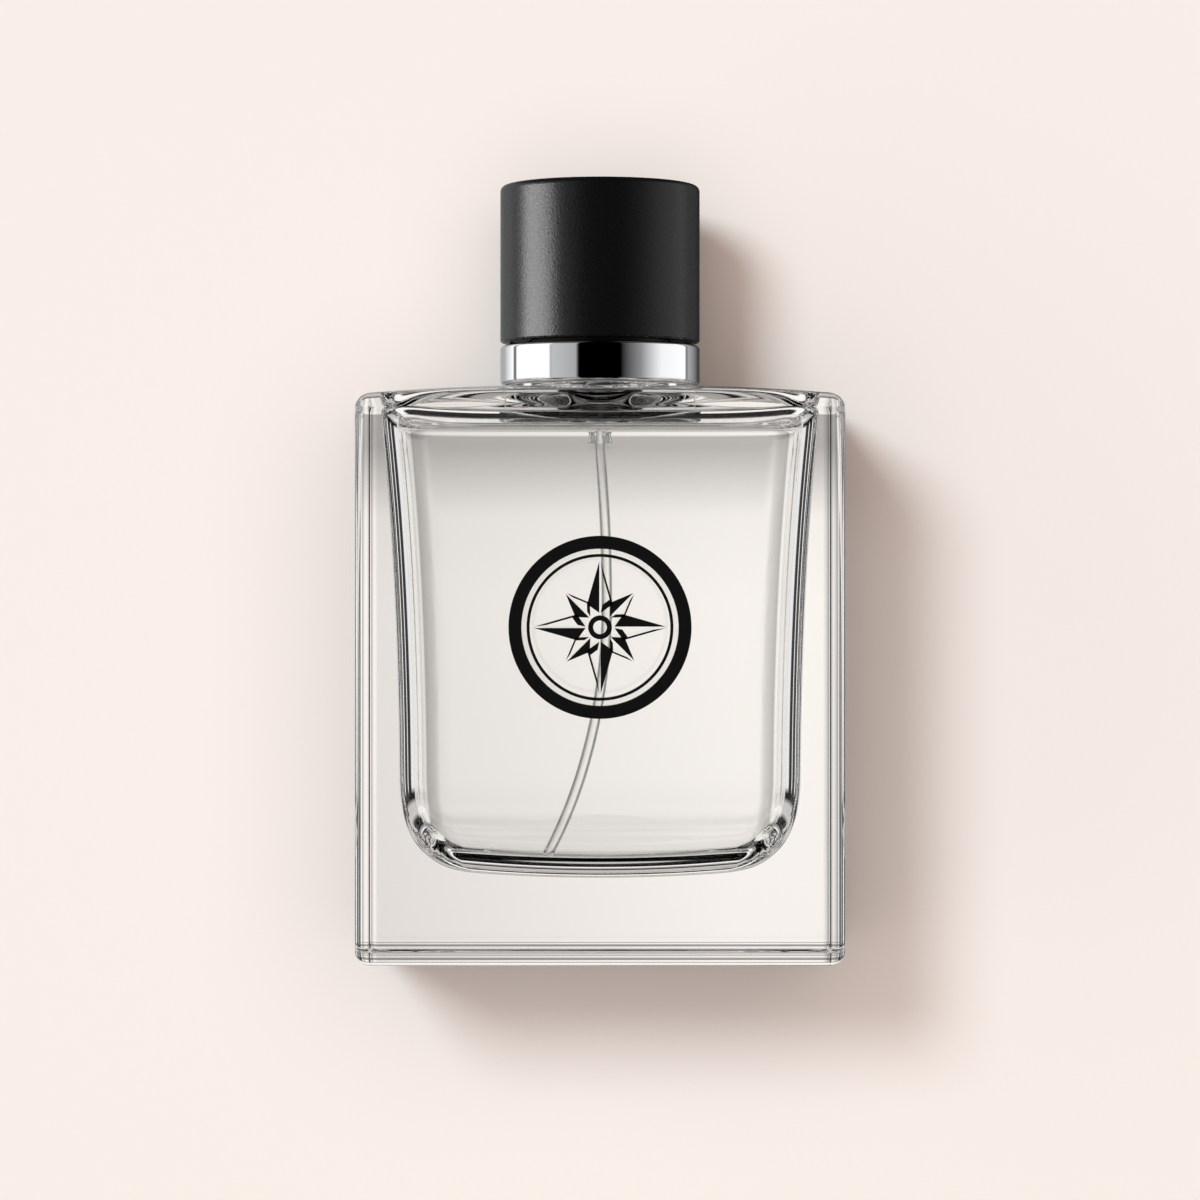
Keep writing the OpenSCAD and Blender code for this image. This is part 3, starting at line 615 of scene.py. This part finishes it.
def moulded(name, color, rough, scale=700.0, bump=0.08, **extra):
    """Moulded plastic with a faint texture and a little colour variation."""
    m, t, b = principled(name, color, rough, **extra)
    fine, broad = t.noise(scale, 4.0), t.noise(scale / 6, 2.0)
    darker = tuple(c * 0.93 for c in color[:3]) + (1,)
    t.put(b, "Base_Color", t.ramp(broad, [(0.3, darker), (0.7, color)]))
    t.put(b, "Normal", t.add("Bump", Strength=bump, Distance=0.0001, Height=fine))
    t.put(b, "Roughness", t.ramp(fine, [(0.3, rough * 0.85), (0.75, min(rough * 1.15, 1))]))
    return m


def brushed(name, color, rough):
    """Metal with fine marks around its axis."""
    m, t, b = principled(name, color, rough, 1.0)
    drawn = t.add("Mapping", Vector=t.add("TexCoord").outputs["Object"], Scale=(60, 60, 3000))
    marks = t.add("TexNoise", Vector=drawn, Scale=1.0, Detail=3.0).outputs[0]
    t.put(b, "Roughness", t.ramp(marks, [(0.3, rough * 0.7), (0.75, rough * 1.3)]))
    t.put(b, "Normal", t.add("Bump", Strength=0.05, Distance=0.0001, Height=marks))
    return m


plating = chrome()
black_grain = grained_black()
black_pp = moulded("black_polypropylene", (0.02, 0.02, 0.021, 1), 0.4)
natural_pp = moulded("natural_polypropylene", (0.80, 0.81, 0.80, 1), 0.35,
                     Transmission_Weight=0.45)
clear_pp = clear("clear_polypropylene", HOUSING_IOR, (0.9, 0.905, 0.9, 1),
                 face=0.9, side=0.85, end=0.8, rough=0.04)
acetal = moulded("white_acetal", (0.86, 0.86, 0.84, 1), 0.35)
rubber = moulded("black_rubber", (0.025, 0.025, 0.025, 1), 0.8, scale=500.0, bump=0.2)
gasket = moulded("white_gasket", (0.82, 0.82, 0.79, 1), 0.6)
steel = brushed("steel", (0.72, 0.73, 0.74, 1), 0.22)
aluminium = brushed("ferrule_aluminium", (0.80, 0.80, 0.80, 1), 0.28)

# ---------------------------------------------------------------------- glass
bottle = grid_mesh("bottle_glass", outer_patches() + inner_patches())
dress(bottle, "root", glass, ["glass_bottle"])
bottle.data.materials.append(glass_inner)
bottle.data.materials.append(glass_wet)
fill = grid_mesh("liquid_fill", fill_patches())
dress(fill, "root", liquid, ["aftershave_fill"])
fill.data.materials.append(liquid_side)

# ------------------------------------------------------------ print on the front
PRINT_Z = 49.7                           # height of its centre
PRINT_BACK, PRINT_FRONT = 0.004, 0.03    # how far it stands off the glass
RINGS = [(11.5, 13.4, 120), (10.3, 10.75, 120), (1.0, 1.75, 48)]   # inner r, outer r, steps
LONG_POINT = (9.7, 1.9, 3.4)             # radius of its tip, half width, radius where widest
SHORT_POINT = (7.0, 1.5, 3.6)
POINT_ROOT, HALF_GAP = 2.1, 0.1          # radius where a point starts, half the gap along it
LINE_SHARE = 0.4                         # an outline's width as a share of the way to its middle


def printed_mark():
    """A plain compass ornament, as thin closed solids on the front of the glass."""
    bm = bmesh.new()
    y0, y1 = -(D / 2 + PRINT_BACK), -(D / 2 + PRINT_FRONT)

    def vert(x, y, z):
        return bm.verts.new((x * MM, y * MM, (PRINT_Z + z) * MM))

    def prism(outline):
        back, front = [[vert(x, y, z) for x, z in outline] for y in (y0, y1)]
        bm.faces.new(back[::-1])
        bm.faces.new(front)
        for i in range(len(outline)):
            j = (i + 1) % len(outline)
            bm.faces.new((back[i], back[j], front[j], front[i]))

    def ring(r0, r1, steps):
        a = [2 * math.pi * i / steps for i in range(steps)]
        back, front = [[[vert(r * math.cos(k), y, r * math.sin(k)) for k in a]
                        for r in (r0, r1)] for y in (y0, y1)]
        for i in range(steps):
            j = (i + 1) % steps
            bm.faces.new((front[0][i], front[1][i], front[1][j], front[0][j]))
            bm.faces.new((back[0][i], back[0][j], back[1][j], back[1][i]))
            bm.faces.new((back[1][i], back[1][j], front[1][j], front[1][i]))
            bm.faces.new((back[0][i], front[0][i], front[0][j], back[0][j]))

    def point(k, tip, wide, belt):
        """One point of the rose: one half of it is filled, the other half is an outline."""
        def on(r, off):
            return (math.cos(k) * r - math.sin(k) * off, math.sin(k) * r + math.cos(k) * off)
        prism([on(POINT_ROOT, HALF_GAP), on(belt, wide), on(tip, HALF_GAP)])
        root, side, end = on(POINT_ROOT, -HALF_GAP), on(belt, -wide), on(tip, -HALF_GAP)
        mid = [(root[i] + side[i] + end[i]) / 3 for i in (0, 1)]
        for p, q in ((root, side), (side, end)):
            prism([p, q] + [tuple(v[i] + (mid[i] - v[i]) * LINE_SHARE for i in (0, 1))
                            for v in (q, p)])

    for r0, r1, steps in RINGS:
        ring(r0, r1, steps)
    for i in range(8):
        point(math.radians(45 * i), *(LONG_POINT if i % 2 == 0 else SHORT_POINT))
    bmesh.ops.recalc_face_normals(bm, faces=bm.faces)
    me = bpy.data.meshes.new("front_print")
    bm.to_mesh(me)
    bm.free()
    m, t, b = principled("black_ink", (0.004, 0.004, 0.0045, 1), 0.35)
    t.put(b, "Roughness", t.ramp(t.noise(2500.0, 3.0), [(0.3, 0.3), (0.75, 0.42)]))
    dress(new_object("front_print", me), "root", m)


printed_mark()

# -------------------------------------------------------------------- dip tube
TUBE_R, TUBE_BORE_R, TUBE_SIDES = 0.8, 0.5, 20
SOCKET_Z, TAIL_Z = 80.15, 77.0           # the tube's top in the housing, and the housing's end
TUBE_BOW, BOW_DROP, TUBE_REACH, KINK_R = 0.95, 22.1, 7.9, 20.0
TUBE_END_GAP = 1.0                       # from the tube's end to the cavity's floor


def tube_route():
    """Centre line as (x, z) in mm from the top: straight, a slight kink, a long bow, and a sweep
    to the left end."""
    lean = 2 * math.atan(TUBE_BOW / BOW_DROP)
    bow_r = BOW_DROP / math.sin(lean)
    bow_x = TUBE_BOW + KINK_R * (1 - math.cos(lean))
    bow_z = TAIL_Z - KINK_R * math.sin(lean) - BOW_DROP
    dx, dz = bow_x + TUBE_REACH, bow_z - FLOOR_Z - TUBE_END_GAP
    sweep_r = (dx * dx + dz * dz) / (2 * dx)
    sweep = 2 * math.atan(dx / dz)
    pts = [(0, SOCKET_Z), (0, TAIL_Z + 1.5), (0, TAIL_Z)]
    for i in range(1, 7):
        a = lean * i / 6
        pts.append((KINK_R * (1 - math.cos(a)), TAIL_Z - KINK_R * math.sin(a)))
    for i in range(1, 21):
        a = lean * (1 - i / 20)
        pts.append((bow_x - bow_r * (1 - math.cos(a)), bow_z + bow_r * math.sin(a)))
    for i in range(1, 41):
        a = sweep * i / 40
        pts.append((bow_x - sweep_r * (1 - math.cos(a)), bow_z - sweep_r * math.sin(a)))
    return np.array(pts)


def tube_mesh(name, route):
    """Open tube along a route in the XZ plane, with its two ends cut square."""
    along = np.gradient(route, axis=0)
    along /= np.linalg.norm(along, axis=1)[:, None]
    rows = np.arange(len(route))

    def skin(r, sign, rows):
        side = np.stack([-along[rows, 1], along[rows, 0]], 1)
        centre = np.stack([route[rows, 0], np.zeros(len(rows)), route[rows, 1]], 1)
        p = np.zeros((len(rows), TUBE_SIDES, 3))
        n = np.zeros_like(p)
        for j, a in enumerate(2 * np.pi * np.arange(TUBE_SIDES) / TUBE_SIDES):
            off = np.stack([side[:, 0] * math.cos(a), np.full(len(rows), -math.sin(a)),
                            side[:, 1] * math.cos(a)], 1)
            p[:, j] = centre + r * off
            n[:, j] = sign * off
        return p * MM, n, 0

    def cut_end(row, at_top):
        outer, inner = (skin(r, 1, np.array([row]))[0] for r in (TUBE_R, TUBE_BORE_R))
        p = np.concatenate([inner, outer] if at_top else [outer, inner], 0)
        t = along[row] * (-1 if at_top else 1)
        n = np.zeros_like(p)
        n[:] = (t[0], 0, t[1])
        return p, n, 0
    return grid_mesh(name, [skin(TUBE_R, 1, rows), cut_end(len(route) - 1, False),
                            skin(TUBE_BORE_R, -1, rows[::-1]), cut_end(0, True)])


tube = tube_mesh("dip_tube_clear", tube_route())
dress(tube, "root", tube_mat, ["dip_tube"])

# -------------------------------------------------------------- collar and cap
CASE_R = 15                              # outside radius of the collar and the cap
COLLAR_LOW, COLLAR_HIGH, COLLAR_EDGE = 86.05, 91.9, 0.55
COLLAR_INSIDE_R, COLLAR_HOLE_R, COLLAR_WALL = 14.2, 10.4, 0.8
CAP_LOW, CAP_HIGH, CAP_EDGE = 92.4, 116.0, 0.9
MOUTH_R, MOUTH_EDGE = 14.65, 0.35        # the round at the cap's mouth
CAP_INSIDE_R, CAP_TOP = 13.7, 1.5

turn_r, inside_z = CASE_R - COLLAR_EDGE, COLLAR_HIGH - COLLAR_WALL
lathe("collar_plated", [
    [(COLLAR_INSIDE_R, COLLAR_LOW), (turn_r, COLLAR_LOW)],
    arc(turn_r, COLLAR_LOW + COLLAR_EDGE, COLLAR_EDGE, 270, 360),
    [(CASE_R, COLLAR_LOW + COLLAR_EDGE), (CASE_R, COLLAR_HIGH - COLLAR_EDGE)],
    arc(turn_r, COLLAR_HIGH - COLLAR_EDGE, COLLAR_EDGE, 0, 90),
    [(turn_r, COLLAR_HIGH), (COLLAR_HOLE_R, COLLAR_HIGH)],
    [(COLLAR_HOLE_R, COLLAR_HIGH), (COLLAR_HOLE_R, inside_z)],
    [(COLLAR_HOLE_R, inside_z), (COLLAR_INSIDE_R, inside_z)],
    [(COLLAR_INSIDE_R, inside_z), (COLLAR_INSIDE_R, COLLAR_LOW)],
], "root", plating, ["collar_shell"])

mouth_z, inside_z = CAP_LOW + MOUTH_EDGE, CAP_HIGH - CAP_TOP
top_r, top_z = CASE_R - CAP_EDGE, CAP_HIGH - CAP_EDGE
cap_outer = lathe("cap_outer", [
    [(CAP_INSIDE_R, CAP_LOW), (MOUTH_R, CAP_LOW)],
    arc(MOUTH_R, mouth_z, MOUTH_EDGE, 270, 360, 5),
    [(CASE_R, mouth_z + (top_z - mouth_z) * i / 12) for i in range(13)],
    arc(top_r, top_z, CAP_EDGE, 0, 90, 10),
    [(top_r * (1 - i / 10), CAP_HIGH) for i in range(11)],
    [(0, inside_z), (CAP_INSIDE_R, inside_z)],
    [(CAP_INSIDE_R, inside_z), (CAP_INSIDE_R, CAP_LOW)],
], "cap", black_grain, ["cap_shell"])

# ------------------------------------------------------ CAD nodes shown as they are
NODE_MATERIALS = {
    "pump_housing": clear_pp,
    "inlet_ball": steel,
    "pump_stem": acetal,
    "piston_seal": natural_pp,
    "housing_closure": acetal,
    "stem_gasket": rubber,
    "neck_gasket": gasket,
    "crimp_ferrule": aluminium,
    "collar_clip": black_pp,
    "actuator_core": black_pp,
    "actuator_sleeve": plating,
    "spray_insert": acetal,
    "cap_liner": black_pp,
}
for node, mat in NODE_MATERIALS.items():
    nodes[node].data.materials.clear()
    nodes[node].data.materials.append(mat)

# --------------------------------------------------------------- return spring
SPRING_WIRE, SPRING_TURNS = 0.45, 5
END_TURNS, END_PITCH = 0.8, 1.05         # closed turns at each end, and their pitch in wires
WIRE_SIDES, STEPS_PER_TURN = 12, 36


def coil_mesh(name, r, wire_r, z_low, height):
    """Round-wire coil spring with closed ends."""
    wire = 2 * wire_r
    closed = END_TURNS * wire * END_PITCH
    turns = np.linspace(0, SPRING_TURNS, SPRING_TURNS * STEPS_PER_TURN + 1)
    rise = np.interp(turns, [0, END_TURNS, SPRING_TURNS - END_TURNS, SPRING_TURNS],
                     [0, closed, height - wire - closed, height - wire])
    a = 2 * np.pi * turns
    out = np.stack([np.cos(a), np.sin(a), 0 * a], 1)
    run = np.stack([-np.sin(a), np.cos(a), 0 * a], 1)
    mid = r * out
    mid[:, 2] = z_low + wire_r + rise
    b = 2 * np.pi * np.arange(WIRE_SIDES) / WIRE_SIDES
    down = np.array((0, 0, -1.0))
    off = out[:, None] * np.cos(b)[None, :, None] + down * np.sin(b)[None, :, None]
    skin = mid[:, None] + wire_r * off

    def end(row, first):
        centre = np.repeat(mid[row][None], WIRE_SIDES, 0)
        p = np.stack([centre, skin[row]] if first else [skin[row], centre])
        normals = np.zeros_like(p)
        normals[:] = -run[row] if first else run[row]
        return p * MM, normals, 0
    return grid_mesh(name, [end(0, True), (skin * MM, off, 0), end(-1, False)])


s_lo, s_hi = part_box("return_spring")
spring_long = (s_hi[2] - s_lo[2]) / MM
spring = coil_mesh("return_coil", s_hi[0] / MM - SPRING_WIRE / 2, SPRING_WIRE / 2, s_lo[2] / MM,
                   spring_long)
dress(spring, "root", steel, ["return_spring"])
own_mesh(spring)

# ----------------------------------------------------------------------- stage
BACKDROP = srgb(248, 239, 233)
STAGE_Y, STAGE_HALF = 0.01705, 1.2       # metres: just behind the bottle, half its width


def stage_floor():
    """The pale surface that the bottle lies on, upright behind it. It is clear from behind, and
    mirrors and glass see past it."""
    m, t = material("stage_surface")
    geo, path = t.add("NewGeometry"), t.add("LightPath")
    beyond = t.math("MAXIMUM", path.outputs["Is Glossy Ray"], path.outputs["Is Transmission Ray"])
    gone = t.math("MAXIMUM", geo.outputs["Backfacing"], beyond)
    t.output("Material", t.mix(gone, t.add("BsdfDiffuse", Color=BACKDROP),
                               t.add("BsdfTransparent")))
    me = bpy.data.meshes.new("stage_floor")
    me.from_pydata([(x * STAGE_HALF, STAGE_Y, z * STAGE_HALF)
                    for x, z in ((-1, -1), (1, -1), (1, 1), (-1, 1))], [], [(0, 1, 2, 3)])
    me.materials.append(m)
    new_object("stage_floor", me)


stage_floor()

# ----------------------------------------------------------------------- world
# A studio of light and dark panels, far away. Each ramp below is a row of (degrees, level), and
# a level fades from one to the next.
MIRROR_GAIN, SOFT_GAIN = 3.0, 2.4
WARM, COOL = (1.02, 0.965, 0.92, 1), (0.98, 0.99, 1.0, 1)


def studio_beside(t, x, y, z):
    """What mirrors see, and what rough gloss and plain surfaces get."""
    azimuth = t.math("ARCTAN2", x, t.times(y, -1.0))
    share = t.plus(t.math("DIVIDE", azimuth, 2 * math.pi), 0.5)

    def by_azimuth(levels):
        """Level by degrees from the viewing side, with the left side below zero."""
        return t.ramp(share, [(0.5 + degrees / 360, level) for degrees, level in levels])

    # Left box between two dark struts with a dim panel beside it, dark front, graded right
    # box, strut
    sharp = by_azimuth([
        (-180, 0.15), (-145, 0.15), (-120, 0.4), (-118, 0.06), (-114, 0.06), (-112, 0.4),
        (-61, 0.4), (-59, 0.15), (-57, 0.2), (-28, 0.15), (-25, 0.0), (24, 0.0),
        (48, 0.1), (75, 0.35), (116, 0.4), (118, 0.08), (121, 0.08), (123, 0.15),
        (155, 0.02), (180, 0.02),
    ])
    soft = by_azimuth([
        (-180, 0.1), (-150, 0.1), (-125, 0.3), (-110, 0.5), (-66, 0.5), (-50, 0.1),
        (-30, 0.0), (85, 0.0), (105, 0.1), (125, 0.5), (150, 0.5), (180, 0.1),
    ])
    # By the sine of the height above or below: the panels end at 30 to 38 degrees
    tall = t.ramp(t.math("ABSOLUTE", z), [(0.0, 1.0), (0.5, 1.0), (0.62, 0.12), (1.0, 0.12)])
    return (t.times(t.times(sharp, MIRROR_GAIN), tall),
            t.times(t.times(soft, SOFT_GAIN), tall))


def studio_through(t, x, y, z):
    """What refracted rays see, by their angles from straight back and from level. Dark gaps
    between the panels draw the edges of the glass. Also the level of the side panels, which are
    cool."""
    turn = t.times(t.math("ARCTAN2", x, y), 180 / math.pi)
    rise = t.times(t.math("ARCSINE", z), 180 / math.pi)
    far, tall = t.math("ABSOLUTE", turn), t.math("ABSOLUTE", rise)

    def by(angle, low, high, levels):
        """Level by an angle in degrees that runs from low to high."""
        share = t.math("DIVIDE", t.math("SUBTRACT", angle, low), high - low, True)
        return t.ramp(share, [((degrees - low) / (high - low), level)
                              for degrees, level in levels])

    # A pale card straight behind, whose edge falls to dark
    card = by(far, 0, 60, [(0, 1.0), (5, 1.0), (7, 0.75), (12, 0.5), (13, 1.05), (15, 1.05),
                           (16.5, 0.02), (60, 0.02)])
    card_v = by(rise, -60, 60, [(-60, 0.02), (-24, 0.02), (-21, 0.3), (-18, 1.05), (-14, 1.0),
                                (5.5, 1.0), (8, 0.35), (13, 0.3), (15.5, 1.05), (19, 1.05),
                                (22, 0.3), (24, 0.02), (60, 0.02)])
    # Painted shade on the card: dimmer to the left, and a soft darker band just above the middle,
    # where the bottle's left side and shoulder shade the surface behind it
    painted_side_shade = by(turn, -5, 5, [(-5, 0.8), (-3, 0.83), (2, 1.02), (5, 1.02)])
    # Painted shadow: the darker band stands for the shoulder's shade on the surface behind
    along = by(rise, -6, 6, [(-6, 0.93), (0, 0.98), (1.2, 0.93), (2.2, 0.44), (3.4, 0.46),
                             (4.2, 1.05), (6, 1.05)])
    card = t.times(t.times(card, card_v), t.times(painted_side_shade, along))
    # Light panels on either side, at the bottle's own height
    panel = by(far, 0, 180, [(0, 0), (20, 0), (21.5, 0.27), (25, 0.27), (27, 0.03), (33, 0.03),
                             (35, 1.2), (39, 1.2), (41.5, 0.02), (60, 0.02), (62, 1.0),
                             (64, 1.0), (66, 0.02), (80, 0.02), (84, 0.85), (97, 0.85),
                             (100, 0.1), (180, 0.1)])
    panel_v = by(tall, 0, 90, [(0, 1.0), (8, 1.0), (12, 0.0), (90, 0.0)])
    # Pale areas that keep the liquid clear in views from the sides, from behind and from above
    around = by(far, 0, 180, [(0, 0), (30, 0), (36, 0.6), (96, 0.6), (100, 0), (180, 0)])
    around_v = by(tall, 0, 90, [(0, 0), (16, 0), (21, 1.0), (33, 1.0), (40, 0.0), (90, 0.0)])
    behind = by(far, 0, 180, [(0, 0), (97, 0), (101, 0.8), (180, 0.8)])
    behind_v = by(tall, 0, 90, [(0, 1.0), (36, 1.0), (44, 0.0), (90, 0.0)])
    table = by(far, 0, 180, [(0, 0.55), (30, 0.55), (36, 0), (180, 0)])
    table_v = by(rise, -90, 0, [(-90, 0), (-53, 0), (-50, 1.0), (-26, 1.0), (-24, 0.0), (0, 0)])
    # Panels overhead and below, which the shoulder and the base show
    overhead = by(rise, 0, 90, [(0, 0), (22, 0), (26, 1.05), (48, 1.05), (56, 0.02), (90, 0.02)])
    below = by(rise, -90, 0, [(-90, 0.6), (-87, 0.6), (-85.5, 0), (-72, 0), (-70.5, 1.0),
                              (-66, 1.0), (-64.5, 0.4), (-60, 0.35), (-57, 0), (0, 0)])
    level = card
    for shape, shape_v in ((panel, panel_v), (around, around_v), (behind, behind_v),
                           (table, table_v)):
        level = t.plus(level, t.times(shape, shape_v))
    return t.math("MAXIMUM", t.math("MAXIMUM", level, overhead), below), panel


def studio_world():
    """Each kind of ray has its own layout of the studio, and the camera sees the backdrop."""
    world = bpy.data.worlds.new("studio")
    bpy.context.scene.world = world
    world.use_nodes = True
    t = Tree(world.node_tree)
    direction = t.add("SeparateXYZ", Vector=t.add("TexCoord").outputs["Generated"])
    x, y, z = (direction.outputs[k] for k in "XYZ")
    mirrored, spread = studio_beside(t, x, y, z)
    through, panel = studio_through(t, x, y, z)

    # A ray keeps its layout until its path has met a plain surface
    path = t.add("LightPath")
    first = t.rest(path.outputs["Diffuse Depth"])
    refracted = t.times(path.outputs["Is Transmission Ray"], first)
    glossy = t.times(path.outputs["Is Glossy Ray"], first)
    reflected = t.math("SUBTRACT", glossy, refracted, True)
    plain = t.rest(t.math("MAXIMUM", refracted, reflected))
    level = t.plus(t.plus(t.times(mirrored, reflected), t.times(spread, plain)),
                   t.times(through, refracted))
    cool = t.math("MAXIMUM", reflected, t.times(panel, refracted), True)
    tone = t.add("Mix", {"data_type": "RGBA"}, in0=cool, in6=WARM, in7=COOL).outputs[2]
    t.output("World", t.mix(path.outputs["Is Camera Ray"],
                            t.add("Background", Color=tone, Strength=level),
                            t.add("Background", Color=BACKDROP, Strength=1.0)))


studio_world()

# ----------------------------------------------------------------------- lamps
LAMP_Z = 0.09                            # metres: height of the side lamp and of what it lights


def aim(o, direction, up_axis):
    o.rotation_mode = "QUATERNION"
    o.rotation_quaternion = Vector(direction).to_track_quat("-Z", up_axis)


def lamp(name, energy, color, spread, direction):
    """A distant lamp that mirrors and glass don't show. spread is its width in degrees."""
    sun = bpy.data.lights.new(name, "SUN")
    sun.energy = energy
    sun.color = color
    sun.angle = math.radians(spread)
    o = new_object(name, sun)
    aim(o, direction, "Y")
    o.visible_glossy = False
    o.visible_transmission = False


def soft_box(name, azimuth, distance, wide, high, energy, lights_only):
    """A panel lamp beside the bottle that only gives gloss, and only on some pieces. azimuth is
    in degrees from the viewing side."""
    area = bpy.data.lights.new(name, "AREA")
    area.shape = "RECTANGLE"
    area.size, area.size_y = wide, high
    area.energy = energy
    area.use_nodes = True
    # It is dark to light that has already left the stage or a plain surface of the bottle
    t = Tree(area.node_tree)
    first = t.rest(t.add("LightPath").outputs["Diffuse Depth"])
    t.output("Light", t.add("Emission", Strength=first))
    o = new_object(name, area)
    a = math.radians(azimuth)
    spot = Vector((math.sin(a) * distance, -math.cos(a) * distance, LAMP_Z))
    o.location = spot
    aim(o, Vector((0, 0, LAMP_Z)) - spot, "Z")
    o.visible_diffuse = False
    o.visible_transmission = False
    o.visible_camera = False
    receivers = bpy.data.collections.new(name + "_receivers")
    for piece in lights_only:
        receivers.objects.link(piece)
    o.light_linking.receiver_collection = receivers


lamp("key", energy=1.68, color=(0.88, 1.025, 1.10), spread=20, direction=(0.44, 0.81, -0.40))
lamp("fill", energy=1.52, color=(1.156, 0.993, 0.91), spread=80, direction=(0.0, 1.0, -0.12))
soft_box("left_box", azimuth=-77, distance=0.5, wide=0.27, high=0.36, energy=3.3,
         lights_only=[cap_outer])

# --------------------------------------------------------------------- camera
scene = bpy.context.scene
cam = bpy.data.cameras.new("camera")
cam.lens = 119.5
cam.sensor_width = 36
cam.clip_start = 0.01
camera = new_object("camera", cam)
camera.location = (0, -0.600, 0.0537)
camera.rotation_euler = (math.pi / 2, 0, 0)
scene.camera = camera
scene.view_settings.view_transform = "Standard"
# A view through the block crosses many surfaces
cycles = scene.cycles
cycles.max_bounces = 28
cycles.transmission_bounces = 28
cycles.transparent_max_bounces = 40
cycles.glossy_bounces = 12
